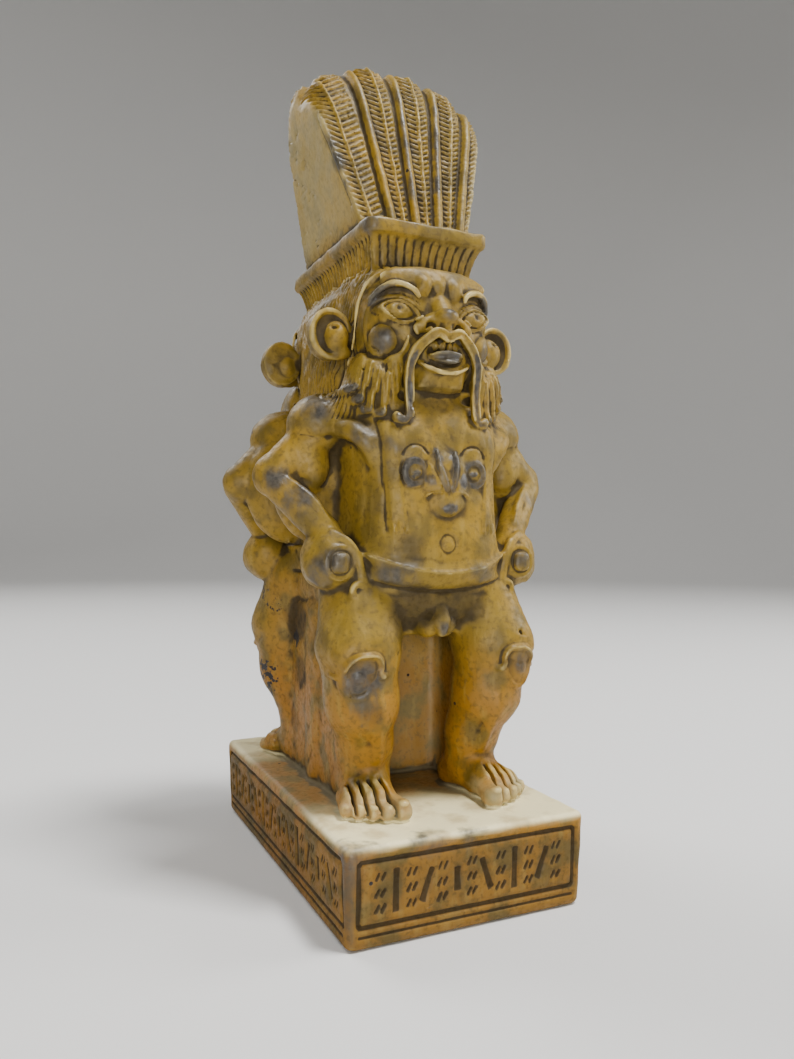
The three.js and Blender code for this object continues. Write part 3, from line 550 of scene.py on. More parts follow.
def shape_head(clay):
    clay.add(column([(94, 11, 26.5), (99, 14, 30), (104, 16.4, 32.4), (110, 17.3, 33.5), (117, 17.4, 33.4),
                     (121.5, 17, 32.4), (125, 16.2, 30.6), (127, 15.2, 27.5)], 7, 3.7), 0.8)
    clay.add(column([(93, 21, 19), (102, 20.6, 20.5), (113, 19.8, 22), (121, 18.6, 23), (127, 15.4, 24.6)],
                    0, 3), 1)
    clay.add(egg((0, 30.2, 123), (14, 2.6, 3.4)), 1.5)
    clay.even((0, 12, 94), (24, 40, 128))
    clay.add(strand(HAIRLINE[10:], 0.25, 0.4, 0.55, 0.6), 0.8)
    # the raised edge round the face
    border = [(15, 27.2, 118.6), (15.7, 26.2, 115), (15.8, 25.8, 110.6), (15.6, 26.6, 107.2),
              (14.8, 28.6, 104.6), (13, 30.4, 103.3), (11, 32, 103.6), (9.7, 33.3, 105.2),
              (8.9, 34, 107.2), (8.4, 34, 109)]
    clay.add(rod(border, 0.3, 0.45, 0.55, 0.7, 0.6, 0.2), 0.5)


def shape_hair(clay):
    edge = strand(HAIRLINE[::2], 0)
    fronts, ups = np.array(HAIRLINE[::2])[:, 1:].T

    def strands(x, y, z):
        away = edge.distance(x, y, z)
        wander = 0.35 * np.sin(z * 0.55 + y * 0.9) + 0.25 * np.sin(z * 0.9 - y * 0.4)
        wave = np.abs(np.cos(math.pi * (away + wander) / HAIR_PITCH))
        behind = np.interp(z, ups, fronts) - y
        keep = smooth(0.2, 1.2, behind) * smooth(94, 96, z) * smooth(0.5, 1.2, away)
        keep *= smooth(10, 13, x) * (1 - smooth(127, 128.5, z))
        return 0.7 * (wave ** 1.3 - 0.75) * keep

    clay.emboss((10, 0, 93), (25, 27, 129), strands, 1.8)


def shape_ear(clay):
    def disc(x, y, z):
        reach = np.sqrt(((x - 22.4) / 5.2) ** 2 + ((z - 110.9) / 6.1) ** 2)
        return np.maximum((reach - 1) * 5.2, np.abs(y - 19) - 1.5)

    clay.add(Form(disc, (17, 17, 104), (28, 21, 118)), 0.9)
    turns = np.linspace(-0.72, 0.95, 20) * math.pi
    rim = [(22.3 + 4.7 * math.cos(a), 20.7, 110.9 + 5.5 * math.sin(a)) for a in turns]
    clay.add(strand(rim, 0.7, 0.8, 0.8, 0.75, 0.6), 0.25)
    clay.cut(egg((22, 23, 111), (4, 2.7, 4.8)), 0.3)
    clay.add(egg((21, 20, 110), (3.2, 3.4, 4)), 0.3)
    clay.add(egg((19.6, 20.6, 106.6), (2.4, 1.4, 1.6)), 0.8)
    clay.cut(egg((22.2, 23, 112.3), (1.2, 1.7, 0.85)), 0.05)


BROW = curve([(15.7, 27.2, 116.4), (15.2, 28.8, 118.4), (13.7, 30.6, 120.2), (11.4, 32.2, 121.2),
              (8.8, 33.2, 121), (6.9, 34, 119.9), (6, 34.7, 118.2)])


def shape_eyes(clay):
    # a hollow under the brow, then lid lines raised round an almond with a sunk pupil
    under = [(14.6, 30, 116.8), (12.8, 32, 118.4), (10.4, 33.4, 119), (7.8, 34.4, 118.4),
             (6.2, 35, 116.8), (5.6, 35.4, 114.8)]
    clay.cut(rod(under, 0.6, 1, 1.2, 1.2, 0.9), 1)
    clay.add(egg((9.9, 30, 114.9), (4.6, 3.7, 3)), 0.6)
    clay.even((2, 24, 108), (18, 39, 124))

    def lids(x, y, z):
        a = (x - 9.8) / 4.4
        b = (z - 114.9 - (x - 9.8) * 0.16) / 2.5
        reach = (np.abs(a) ** 1.6 + np.abs(b) ** 1.6) ** (1 / 1.6)
        upper = smooth(-0.2, 0.3, b) * smooth(1.25, 0.95, np.abs(a))
        out = 0.5 * hump(reach - 1, 0.11)
        out -= 0.5 * hump(reach - 0.8, 0.1)
        out -= 0.35 * hump(reach - 1.2, 0.09)
        out += 0.4 * hump(reach - 1.4, 0.11) * upper
        out -= 0.35 * hump(reach - 1.6, 0.1) * upper
        pupil = np.sqrt((x - 10.3) ** 2 + (z - 115.4) ** 2)
        out -= 0.9 * hump(pupil, 0.85)
        out += 0.15 * hump(pupil - 1.5, 0.35)
        return out * smooth(24, 27, y) * smooth(15.8, 14.8, x)

    clay.emboss((3.4, 25, 109.5), (16.5, 39, 121), lids, 2.5)
    clay.add(strand(BROW, 0.3, 0.6, 0.8, 0.85, 0.8, 0.7, 0.45), 0.25)
    above = [(a, b + 0.3, c + 1.5) for a, b, c in BROW[4:-4]]
    clay.cut(strand(above, 0.45), 0.8)
    # soft folds of the forehead, over the low root of the nose
    clay.add(egg((4.1, 31.9, 121.2), (2.3, 2.6, 2.8)), 1.2)
    clay.add(egg((0, 31.8, 121.6), (1.9, 2.6, 2.8)), 1)


def shape_nose(clay):
    clay.add(strand([(0, 32.2, 117.4), (0, 34.2, 115)], 2.5, 2.5), 1.2)
    clay.add(egg((0, 34.6, 112.6), (5.4, 2.8, 2.5)), 0.8)
    clay.add(egg((0, 36.8, 113.6), (2.8, 2.6, 1.9)), 0.5)
    clay.add(egg((4.8, 34.6, 111.5), (2.3, 2.2, 1.9)), 0.5)
    clay.add(limb((0, 36.4, 112), (0, 37, 109.8), 1.5, 1.3), 0.6)
    clay.cut(egg((3.7, 38.2, 111.1), (1.6, 3.6, 1.45)), 0.15)
    wing = [(2.8, 36.3, 113.2), (4.5, 36, 113), (6.1, 35.4, 112.2), (6.9, 34.9, 110.9), (6.4, 35, 109.6)]
    clay.add(rod(wing, 0.3, 0.6, 0.75, 0.75, 0.5), 0.5)
    clay.add(egg((3.8, 36, 110.5), (0.8, 0.9, 0.7)), 0.1)
    clay.cut(rod([(7.8, 35, 112.4), (8.9, 34.4, 110.4), (9.3, 34, 108.4)], 0.35), 0.8)


def shape_cheeks(clay):
    # a round boss in a shallow dish
    clay.even((7, 22, 101), (19, 37, 116))

    def dish(x, y, z):
        reach = np.sqrt((x - 13.4) ** 2 + (y - 29.8) ** 2 + (z - 108.2) ** 2)
        ball = 1.9 * np.sqrt(np.maximum(1 - (reach / 3.7) ** 2, 0))
        return ball - 0.3 * smooth(5.6, 4.6, reach) * smooth(112, 110, z)

    clay.emboss((7, 22, 101), (19, 37, 115), dish)


def shape_mouth(clay):
    clay.add(egg((0, 30, 104.6), (9.6, 7.2, 8)), 1.5)
    clay.add(column([(96.4, 6, 34), (97.6, 6.9, 36.2), (101.5, 6.9, 36.8), (103.4, 6, 35)], 20, 5), 0.5)
    clay.cut(egg((0, 39, 104.9), (6.6, 4.6, 3.3)), 0.3)
    for tooth in range(4):
        across = 0.85 + 1.7 * tooth
        clay.add(egg((across, 35.8 - 0.09 * across ** 2, 106.7), (0.85, 1.8, 1.3)), 0.1)

    def tongue(x, y, z):
        top = z - (105.4 - 0.03 * x * x)
        face = y - (39.5 - 0.11 * x * x) + 1.2 * hump(z - 103.9, 0.8)
        under = (102.6 + 0.07 * x * x) - z
        return np.maximum(np.maximum(top, face), np.maximum(under, np.abs(x) - 4.3))

    clay.add(Form(tongue, (-4.3, 28, 102), (4.3, 40, 106)), 0.2)
    lip = [(7, 34.3, 104.6), (6.4, 35.5, 103), (4.6, 36.9, 101.6), (2.3, 37.7, 100.7), (0, 37.9, 100.4)]
    clay.add(rod(lip, 0.35, 0.5, 0.5), 0.6)
    clay.cut(rod([(0, 37.6, 99.3), (3, 37.4, 99.6), (6.2, 36, 101)], 0.4), 0.5)
    chin = [(0, 36.6, 95.2), (3.4, 36, 95.2), (6.6, 34, 95.4), (9, 32, 95.4)]
    clay.cut(rod(chin, 1.5, 1.3), 0.8)


MOUSTACHE = ((0, 38.4, 108.3), (2.6, 38.8, 109.5), (4.4, 38.2, 108.6), (7, 37.3, 106.1), (8.4, 36.7, 103.4),
             (8.8, 36, 100.4), (8.7, 35.4, 96.6), (8.6, 35.9, 93), (8.8, 36.2, 90.8), (9.7, 36.1, 89.6),
             (10.9, 35.8, 89.5), (11.5, 35.5, 90.3))


def shape_moustache(clay):
    # a flat band with a thin raised line along both edges, which end before the curled tip
    path = curve(MOUSTACHE)
    low_path = [(a, b - 1, c) for a, b, c in path]
    clay.add(strand(low_path, 0.9, 1, 1.1, 1.15, 1.1, 1, 0.95, 0.9, 0.9, 0.95, 1), 0.2)
    for side in (0.75, -0.75):
        edge = []
        for before, here, after in zip([path[0], *path], path, [*path[1:], path[-1]]):
            dx, dz = after[0] - before[0], after[2] - before[2]
            long = max(math.hypot(dx, dz), 1e-6)
            edge.append((max(here[0] - side * dz / long, 0), here[1] - 0.1, here[2] + side * dx / long))
        clay.add(strand(edge[:-14], 0.42, 0.42, 0.42, 0.3), 0.1)
    clay.add(egg((11.2, 34.8, 89.9), (1.2, 1.3, 1.15)), 0.5)


LOCKS = (
    ((17, 24, 105.4), (18.8, 25, 101), (19.7, 25, 97.1)),
    ((16, 26.8, 103), (17.6, 27, 98.6), (18.3, 27.6, 94.5)),
    ((14.4, 28.8, 101), (15.8, 29.4, 96.6), (16.5, 29.3, 92.3)),
    ((12.9, 31, 100), (13.5, 31.4, 95.8), (14, 31, 91.5)),
)


def shape_beard(clay):
    clay.add(egg((13.2, 25, 98.6), (6.6, 7.2, 8)), 0.8)
    clay.add(limb((10.8, 31.6, 103), (11.4, 31.2, 94), 2.2, 1.9), 1)
    clay.add(limb((11.6, 28.8, 92.4), (18, 24.2, 96), 3.2, 3.2), 2)
    clay.add(limb((12.6, 28.4, 96), (16, 26.8, 95), 3.2, 3), 1.5)
    clay.even((7, 16, 86), (25, 38, 106))

    def strands(x, y, z):
        fan = (x - 9 + 0.8 * (28 - y)) / (1 + 0.03 * np.maximum(104.5 - z, 0))
        wave = np.abs(np.cos(math.pi * fan / 1.15))
        keep = smooth(8.6, 9.6, x) * smooth(91.4, 94, z + 0.4 * (x - 14)) * (1 - smooth(102.2, 103.4, z))
        return 0.6 * (wave ** 1.2 - 0.7) * keep * smooth(15, 18, y)

    clay.emboss((7, 16, 90), (24, 38, 104), strands, 1.8)
    for root, bend, end in LOCKS:
        hook = (end[0] + 0.9, end[1], end[2] - 0.2)
        engrave(clay, curve([root, bend, end, hook]), 0.75, 0.8, 18)
        engrave(clay, [end, hook], 0.9, 0.6, 18)
        engrave(clay, [hook, (hook[0] + 0.1, 0, hook[2])], 0.35, -0.9, 18)
        below = curve([(a - 0.9, b, c - 0.9) for a, b, c in (bend, end)] + [(hook[0], 0, hook[2] - 1.4)])
        engrave(clay, below, 0.4, -0.35, 18)


def cove_half(z):
    """Half the cove's width and depth at a height: it flares outwards."""
    flare = np.clip((z - FIGURE) / COVE_HEIGHT, 0, 1) ** 2.2
    return [mix(foot, size / 2 - COVE_SETBACK, flare) for foot, size in zip(COVE_FOOT, CORNICE)]


def shape_cove(clay):
    low, high = FIGURE - 2, FIGURE + COVE_HEIGHT

    def block(x, y, z):
        half_width, half_depth = cove_half(z)
        wall = np.maximum(np.abs(x) - half_width, np.abs(y) - half_depth)
        return np.maximum(wall, np.maximum(low - z, z - high - 0.5))

    clay.add(Form(block, (0, 0, low), (*cove_half(high), high + 0.5)), 1.0)
    clay.even((0, 0, low), (18, 30, high))

    def reeds(x, y, z):
        # rounded reeds on the front, thin ridges with deep gaps on the sides
        half_width, half_depth = cove_half(z)
        front = np.abs(2 * ((x / half_width * COVE_REEDS[0] / 2 + 0.5) % 1) - 1)
        side = np.abs(2 * ((y / half_depth * COVE_REEDS[1] / 2 + 0.5) % 1) - 1)
        on_side = half_width - np.abs(x) < half_depth - np.abs(y)
        out = np.where(on_side, -0.95 * smooth(0.15, 0.75, side), -0.7 * front ** 4)
        return out * smooth(FIGURE - 1.5, FIGURE + 1, z) * (1 - smooth(high - 0.9, high - 0.2, z))

    clay.emboss((0, 0, low), (18, 30, high), reeds, 2.5)


def slab(half, low, high, corner, edge):
    """A block with rounded upright corners and softened edges."""
    def distance(x, y, z):
        a = np.maximum(np.abs(x) - half[0] + corner, 0)
        b = np.maximum(np.abs(y) - half[1] + corner, 0)
        wall = np.sqrt(a * a + b * b) - corner
        tall = np.abs(z - (low + high) / 2) - (high - low) / 2
        out = np.sqrt(np.maximum(wall + edge, 0) ** 2 + np.maximum(tall + edge, 0) ** 2)
        return out + np.minimum(np.maximum(wall, tall) + edge, 0) - edge

    return Form(distance, (-half[0], -half[1], low), (half[0], half[1], high))


def shape_cornice(clay):
    low = FIGURE + COVE_HEIGHT
    clay.add(slab((CORNICE[0] / 2, CORNICE[1] / 2), low, low + CORNICE[2], 2.4, 0.7), 0.3)


# Crown: it widens sideways and thins upwards. Its relief is laid out on each feather in shares of
# the feather's own width: a rib, a column of barbs, a midrib, a second column and a smooth band.
CROWN_FOOT = CROWN_BASE - SOLES
CROWN_HALF = (CORNICE[0] / 2 - CORNICE_LEDGE, CROWN_TOP[0] / 2)
CROWN_DEEP = (CORNICE[1] / 2 - CROWN_LEDGE, CROWN_TOP[1] / 2)
BARB_PITCH = 1.5


def feather_places(side):
    edges = np.array(FEATHERS, np.float32)
    number = np.clip(np.searchsorted(edges, side.ravel()) - 1, 0, len(edges) - 2)
    within = (side.ravel() - edges[number]) / (edges[number + 1] - edges[number])
    return number.reshape(side.shape), np.clip(within, 0, 1).reshape(side.shape)


def rib_distance(side, width):
    """How far across the crown each place is from the nearest of the smooth ribs."""
    away = np.full(side.shape, 99.0, np.float32)
    for left, right in zip(FEATHERS[1:], FEATHERS[2:]):
        here = (side - mix(left, right, 0.09)) * width
        away = np.where(np.abs(here) < np.abs(away), here, away)
    return away


def crown_half(height):
    """Half the crown's width and depth at a height."""
    share = np.clip(height / CROWN_HEIGHT, 0, 1)
    return mix(*CROWN_HALF, share), mix(*CROWN_DEEP, share)


def crown_top(side):
    dome = np.abs(2 * feather_places(side)[1] - 1)
    return CROWN_HEIGHT - CROWN_SIDE_DROP * np.abs(side - CROWN_LEAN) ** 2.4 - CROWN_NOTCH * dome ** 2.5


def crown_block(x, y, z):
    height = z - CROWN_FOOT
    width, wedge = crown_half(height)
    side = np.clip(x / width, -1, 1)
    top = mix(crown_top(-side), crown_top(side), smooth(-2.4, 2.4, y))
    over = np.maximum(height / top - 0.7, 0) / 0.3
    core = 0.22 * wedge
    out = np.maximum(np.abs(y) - core, 0) / (wedge - core)
    face = (np.sqrt(out ** 2 + over ** 2) - 1) * (wedge - core)
    wall = np.abs(x) - width
    corner = np.sqrt(np.maximum(wall + 1, 0) ** 2 + np.maximum(face + 1, 0) ** 2) - 1
    return np.maximum(corner, -1.5 - height)


def feather_relief(x, y, z):
    """Ribs, barbs and midribs on the crown's front. The first feather has no rib and the last no midrib."""
    height = z - CROWN_FOOT
    width, _ = crown_half(height)
    side = np.clip(x / width, -1, 1)
    number, within = feather_places(side)
    edges = np.array(FEATHERS)
    span = (edges[number + 1] - edges[number]) * width
    first, last = number == 0, number == len(edges) - 2
    midrib = np.where(first, 0.4, 0.59)
    across = (within - midrib) * span
    left = (within > np.where(first, 0.07, 0.2)) & (within < midrib)
    right = (within > midrib) & (within < np.where(first, 0.84, 0.83)) & ~last
    lift = np.where(left, 0.22 * -across, 0.55 * across)
    lift = np.where(last, 0.7 * within * span, lift)
    left = np.where(last, (within > 0.24) & (within < 0.93), left)
    rung = np.abs(np.sin(math.pi * (height - lift) / BARB_PITCH)) ** 1.6
    barbs = np.where(left | right, -0.8 * rung + 0.15, -0.1)
    vein = hump(across, 0.42) * ~last
    band = -0.45 * hump((within - 0.92) * span, 0.8) * ~last
    border = 0.3 * smooth(0.05, 0, within) * first
    away = rib_distance(side, width)
    rib = np.sqrt(np.maximum(1 - (away / 1.15) ** 2, 0))
    rib *= mix(0.4, 1.1, smooth(0, 4, crown_top(side) - height))
    gully = -0.4 * hump(np.abs(away) - 1.5, 0.35)
    out = mix(mix(barbs, 0.5, vein) + band + border + gully, rib, smooth(1.3, 1.05, np.abs(away)))
    facing = 1 - smooth(0.3, 0.9, np.abs(x) - width + 1)
    return out * smooth(0.4, 2.2, height) * facing * smooth(0.6, 2.4, y)


def side_crack(x, y, z):
    """The crack between the crown's smooth side and its first feather."""
    height = z - CROWN_FOOT
    width, wedge = crown_half(height)
    near = smooth(1.4, 0.8, np.abs(np.abs(x) - width))
    return -0.55 * hump(y - wedge + 2.2, 0.35) * smooth(3, 8, height) * (x < 0) * near


def shape_crown(clay):
    reach, top = CROWN_HALF[1] + 1, CROWN_FOOT + CROWN_HEIGHT
    low, high = (-reach, 0, CROWN_FOOT - 1.5), (reach, CROWN_DEEP[0] + 1, top)
    clay.add(Form(crown_block, low, high), 0.5)
    clay.even(low, (*high[:2], top + 1))
    clay.emboss(low, (*high[:2], top + 1), feather_relief, 2.6)
    clay.emboss(low, high, side_crack, 2)


def shape_plinth(clay):
    half = (PLINTH[0] / 2, PLINTH[1] / 2)
    block = slab(half, -PLINTH[2], 0, 2.2, PLINTH_EDGE)

    def tapered(x, y, z):
        inset = PLINTH_INSET * np.clip(-z / PLINTH[2], 0, 1)
        return block.distance(x / (1 - inset / half[0]), y / (1 - inset / half[1]), z)

    clay.add(Form(tapered, block.low, block.high), 0.5)


def stroke_bars(length):
    """The marks on one side of the plinth: [along, up, slant, width, height] for each."""
    bottom = 1.5 * PANEL_MARGIN - PLINTH[2]
    top = -PANEL_MARGIN
    half = length / 2 - PANEL_MARGIN
    middle = (bottom + top) / 2
    bars = [(0, bottom, 0, 2 * half, PANEL_GROOVE), (0, top, 0, 2 * half, PANEL_GROOVE),
            (-half, middle, 0, PANEL_GROOVE, top - bottom), (half, middle, 0, PANEL_GROOVE, top - bottom),
            (0, bottom - 1.9, 0, 2 * half, 0.5)]
    inner = top - bottom - 2 * PANEL_GROOVE - 2
    count = int((2 * half - 3 * PANEL_GROOVE) / STROKE_PITCH)
    for n in range(count):
        along = (n - (count - 1) / 2) * STROKE_PITCH
        slant = (0, 0.35, 0, -0.35)[n % 4]
        tall = inner * (1, 0.8, 0.55, 0.8)[n % 4]
        bars.append((along, middle, slant, STROKE_WIDTH, tall))
    for n in range(-1, count):
        between = (n - (count - 2) / 2) * STROKE_PITCH
        for row in (-1, 0, 1):
            for step in (-0.5, 0.5):
                bars.append((between + 1.3 * step, middle + row * inner * 0.36, 0.5, 0.55, 1.9))
    return bars


def carve_stroke(clay, side, along, up, slant, width, tall):
    """One stroke in the plinth's front, where side is 0, or in its left or right, -1 or 1."""
    def relief(x, y, z):
        a = (-y * side if side else x) - along
        b = z - up
        u = a * math.cos(slant) - b * math.sin(slant)
        v = a * math.sin(slant) + b * math.cos(slant)
        inside = np.minimum(width / 2 - np.abs(u), tall / 2 - np.abs(v))
        return -PANEL_DEPTH * smooth(-0.35, 0.35, inside)

    reach = max(width, tall) / 2 + 0.6
    if side:
        middle, out = np.array([side * (PLINTH[0] / 2 - 1.5), -along * side, up]), (2.5, reach, reach)
    else:
        middle, out = np.array([along, PLINTH[1] / 2 - 1.5, up]), (reach, 2.5, reach)
    clay.emboss(middle - out, middle + out, relief, 2)


def shape_strokes(clay):
    for side, length in ((0, PLINTH[0]), (-1, PLINTH[1]), (1, PLINTH[1])):
        for bar in stroke_bars(length):
            carve_stroke(clay, side, *bar)


def shape_all():
    top = CROWN_FOOT + CROWN_HEIGHT + 2
    low = (0, 0, -PLINTH[2] - GRID_ROOM)
    quarter = Clay(low, (GRID_HALF_WIDTH, PLINTH[1] / 2 + GRID_ROOM, top), GRID)
    for shape in (shape_wall, shape_body, shape_belt, shape_chest, shape_arms, shape_fists, shape_pendant,
                  shape_groin, shape_legs, shape_feet, shape_head, shape_hair, shape_beard, shape_ear,
                  shape_mouth, shape_cheeks, shape_nose, shape_eyes, shape_moustache, shape_cove,
                  shape_cornice, shape_plinth):
        shape(quarter)
    half = quarter.doubled(0)
    shape_crown(half)
    shape_strokes(half)
    return half.doubled(1, (0,))


def boxed(values, radius):
    """The mean of the values in a cube around each grid point, by running sums."""
    for axis in range(3):
        n = values.shape[axis]
        total = np.cumsum(values, axis, dtype=np.float32)
        total = np.concatenate([np.zeros_like(np.take(total, [0], axis)), total], axis)
        high = np.minimum(np.arange(n) + radius + 1, n)
        low = np.maximum(np.arange(n) - radius, 0)
        shape = [-1 if i == axis else 1 for i in range(3)]
        values = (np.take(total, high, axis) - np.take(total, low, axis)) / (high - low).reshape(shape)
    return values


def settle(clay, points, rounds=2):
    """Moves the points onto the zero surface, along its slope."""
    for _ in range(rounds):
        value = clay.sample(clay.values, points)
        slope = np.zeros_like(points)
        for axis in range(3):
            step = np.zeros(3)
            step[axis] = clay.step / 2
            ahead, back = (clay.sample(clay.values, points + s) for s in (step, -step))
            slope[:, axis] = ahead - back
        slope /= clay.step
        square = np.maximum((slope ** 2).sum(1), 0.2)
        move = -slope * (value / square)[:, None]
        length = np.linalg.norm(move, axis=1, keepdims=True)
        points = points + move * np.minimum(1, 0.4 * clay.step / np.maximum(length, 1e-9))
    return points


def around(clay, points, radius):
    """How much of the clay lies round each point: -1 on a thin tip, 0 on a flat side, 1 in a hole."""
    reach = max(1, round(radius / clay.step))
    inside = (clay.values < 0).astype(np.float32)
    return clay.sample(boxed(boxed(inside, reach), reach), points) * 2 - 1


def to_frame(points):
    """From side, front and up in millimetres to the shared frame in metres."""
    return np.stack([points[:, 0], -points[:, 1], points[:, 2] + SOLES], 1) * MM


def from_frame(mesh):
    """The places of a mesh's vertices, as side, front and up in millimetres."""
    found = np.zeros(3 * len(mesh.vertices), np.float32)
    mesh.vertices.foreach_get("co", found)
    x, y, z = found.reshape(-1, 3).T / MM
    return np.stack([x, -y, z - SOLES], 1)


def add_object(name, mesh):
    thing = bpy.data.objects.new(name, mesh)
    bpy.context.scene.collection.objects.link(thing)
    return thing


def mesh_of(clay, name):
    """The clay's surface as an object, thinned to the number of faces that is wanted."""
    points, quads = clay.skin()
    points = settle(clay, points)
    mesh = bpy.data.meshes.new(name)
    mesh.vertices.add(len(points))
    mesh.vertices.foreach_set("co", to_frame(points).astype(np.float32).ravel())
    mesh.loops.add(quads.size)
    mesh.loops.foreach_set("vertex_index", quads[:, ::-1].astype(np.int32).ravel())
    mesh.polygons.add(len(quads))
    mesh.polygons.foreach_set("loop_start", np.arange(0, quads.size, 4, dtype=np.int32))
    mesh.polygons.foreach_set("loop_total", np.full(len(quads), 4, np.int32))
    mesh.update(calc_edges=True)
    mesh.validate()
    figure = add_object(name, mesh)
    bpy.context.view_layer.objects.active = figure
    figure.select_set(True)
    thin = figure.modifiers.new("thin", "DECIMATE")
    thin.ratio = min(1, FACES / (2 * len(quads)))
    bpy.ops.object.modifier_apply(modifier=thin.name)
    figure.data.polygons.foreach_set("use_smooth", np.ones(len(figure.data.polygons), bool))
    return figure


def roughen(clay):
    """A slight unevenness all over, as of a casting that was rubbed down."""
    x, y, z = (a.astype(np.float32) for a in clay.axes)
    share = mix(0.4, 1, smooth(-0.5, 1, z)) * smooth(0.2, 1.6, z + PLINTH[2])
    for size, depth, phase in ((9.0, 0.11, 0.3), (4.1, 0.05, 1.7)):
        k = 2 * math.pi / size
        a = np.sin(k * x + phase)[:, None, None] * np.sin(k * 0.83 * y + 2 * phase)[None, :, None]
        b = np.cos(k * 0.71 * x + 3 * phase)[:, None, None] * np.cos(k * 1.1 * y - phase)[None, :, None]
        clay.values += a * (share * depth * np.sin(k * 0.9 * z + phase))[None, None, :]
        clay.values += b * (share * depth * np.cos(k * 1.07 * z - phase))[None, None, :]
    for cx, cy, cz, radius in PITS:
        clay.cut(egg((cx, cy, cz), (radius, radius, radius)), 0.1)


# Marks of use and patches of painted shade, as [side, front, up, radius, strength] in millimetres, as they
# are seen on the front figure and on the near flank of the rear one. Each is made once more, turned half
# round.
WORN = (
    # the face
    (-13.6, 31.6, 107.8, 3.4, 1), (14, 31.4, 107.6, 2.6, 0.7), (0, 39, 114, 2.4, 0.8),
    (-14.6, 29.6, 119.6, 2.4, 0.9), (0, 39, 103.9, 3.6, 1), (-9.2, 35.4, 90.5, 2.4, 0.8),
    (-22.4, 20, 110, 3, 0.5),
    # shoulders, arms and fists
    (-26, 21, 94, 5, 0.9), (25, 20, 94, 4, 0.5), (-18, 31, 85.6, 4.4, 0.8), (-13.4, 35, 83, 4.5, 0.5),
    (-34.4, 19.5, 75.6, 4, 1), (-30.6, 22, 71.4, 4.6, 1), (31, 22, 72, 3.5, 0.6),
    (-24, 32, 57.8, 4, 1), (-27.5, 29, 55, 4.4, 0.9), (-24, 29, 63, 3.4, 0.5), (24, 32, 57.8, 3, 0.7),
    # belt and legs
    (-12, 38, 53, 7, 0.7), (9, 38.6, 53, 6, 0.5), (0, 36, 41.8, 2, 0.8), (-20.4, 37, 31.6, 5.4, 1),
    (-19, 34.6, 23.6, 5, 0.6), (21.6, 37, 33, 4, 0.9),
    # the plinth's near corner and front edge
    (-29.4, 49.8, -1, 5.5, 1), (-29.4, 50, -6, 4, 1), (-29.6, 50, -10, 3.4, 0.9), (-24, 50, 0, 3.6, 0.7),
    (-29.4, 50, -14, 3, 0.8), (-10, 50.4, -0.6, 5, 0.9), (0, 50.2, -1.6, 3.4, 0.6),
    (-29.6, 46, 0, 3.6, 0.6), (-29.4, 49.8, -19, 3, 0.7),
    # cornice and crown
    (-16, 28, 136, 4, 1), (-6, 28.6, 137.8, 4, 0.6), (15.6, 28.4, 136, 3, 0.6),
    (-21.6, 14.5, 160, 3.4, 0.9), (-20.2, 16.4, 154, 3.6, 1), (-18.8, 18.2, 147.5, 3.4, 0.9),
    (-8, 14, 166, 3, 0.8), (2, 14, 162, 3, 0.7), (11, 13, 160, 3, 0.6), (-27, 6, 172, 5, 0.4),
)
# painted shade: under the chin, over and under the belt, inside the arm, below the knee and at the backs of
# the legs by the wall
SHADE_PATCHES = (
    (-4, 36, 94.8, 4, 0.6), (0, 36, 94, 4, 0.6), (4, 36, 94.8, 4, 0.6), (-20, 22, 63, 5, 0.3),
    (-9, 37, 60.5, 5, 0.5), (-7, 36, 46.5, 7, 0.75), (7, 36, 46.5, 7, 0.7), (0, 36, 48, 4, 0.6),
    (-18, 35.6, 23.4, 4.4, 0.5), (-19, 6, 36, 7, 0.5), (-19, -12, 40, 7, 0.7),
    (-19.6, -10, 26, 6, 0.55), (-21, -14, 12, 5, 0.5),
)
CHARRED = (
    (-22, -21, 43.6, 4, 0.75), (-24, -24, 46.4, 3.4, 0.7), (-20, -14, 35, 3.4, 0.9),
    (-23.6, -25, 24.4, 4.4, 0.85), (-22.6, -26, 19.5, 3, 0.7),
)
# small holes, as [side, front, up, radius]
PITS = (
    (-10.5, 34.6, 36.4, 0.7), (20.4, 36.6, 40, 0.7), (-16, 38.2, 34.2, 0.6),
)
# raised lines with dark worn tops, as a form round the line and the strength
WORN_LINES = (
    (ring((7.7, 36.3, 77.6), 2.5, 0.6, 1.1), 1),
    (egg((7.3, 37, 77.5), (1, 0.8, 0.4)), 1),
    (strand(curve(PENDANT_STRIPES[0], 3), 0.8), 1),
    (egg((4.2, 37, 75.6), (1.2, 2, 1.7)), 1),
    (egg((0, 39.6, 69.4), (1.9, 1.2, 1)), 1),
    (strand(curve(MOUSTACHE)[18:], 0.5), 1),
    (strand([(a, b, c - 0.5) for a, b, c in BROW[3:16]], 0.7), 1),
    (egg((10.3, 33, 115.4), (0.9, 4, 0.7)), 0.7),
    (strand(HAIRLINE[26:34], 0.4), 0.5),
    *((egg((end[0] + 0.5, 28, end[2]), (0.9, 8, 1)), 0.9) for _, _, end in LOCKS),
)


def spots(points, marks):
    """How far each point is into one of the marks, 0 to 1, on the front figure and the rear one."""
    total = np.zeros(len(points), np.float32)
    for x, y, z, radius, strength in marks:
        for turn in (1, -1):
            away = np.linalg.norm(points - np.array([x * turn, y * turn, z]), axis=1)
            share = strength * smooth(1.5, 0.45, away / radius)
            total = np.maximum(total, share * (1 if turn == 1 or y * turn < 0 else 0.9))
    return total


def line_wear(points):
    """The dark worn tops of small raised lines, on both figures."""
    x, y, z = points.T
    worn = np.zeros(len(points), np.float32)
    for form, strength in WORN_LINES:
        worn = np.maximum(worn, strength * smooth(0.5, 0.1, form.distance(np.abs(x), np.abs(y), z)))
    return worn


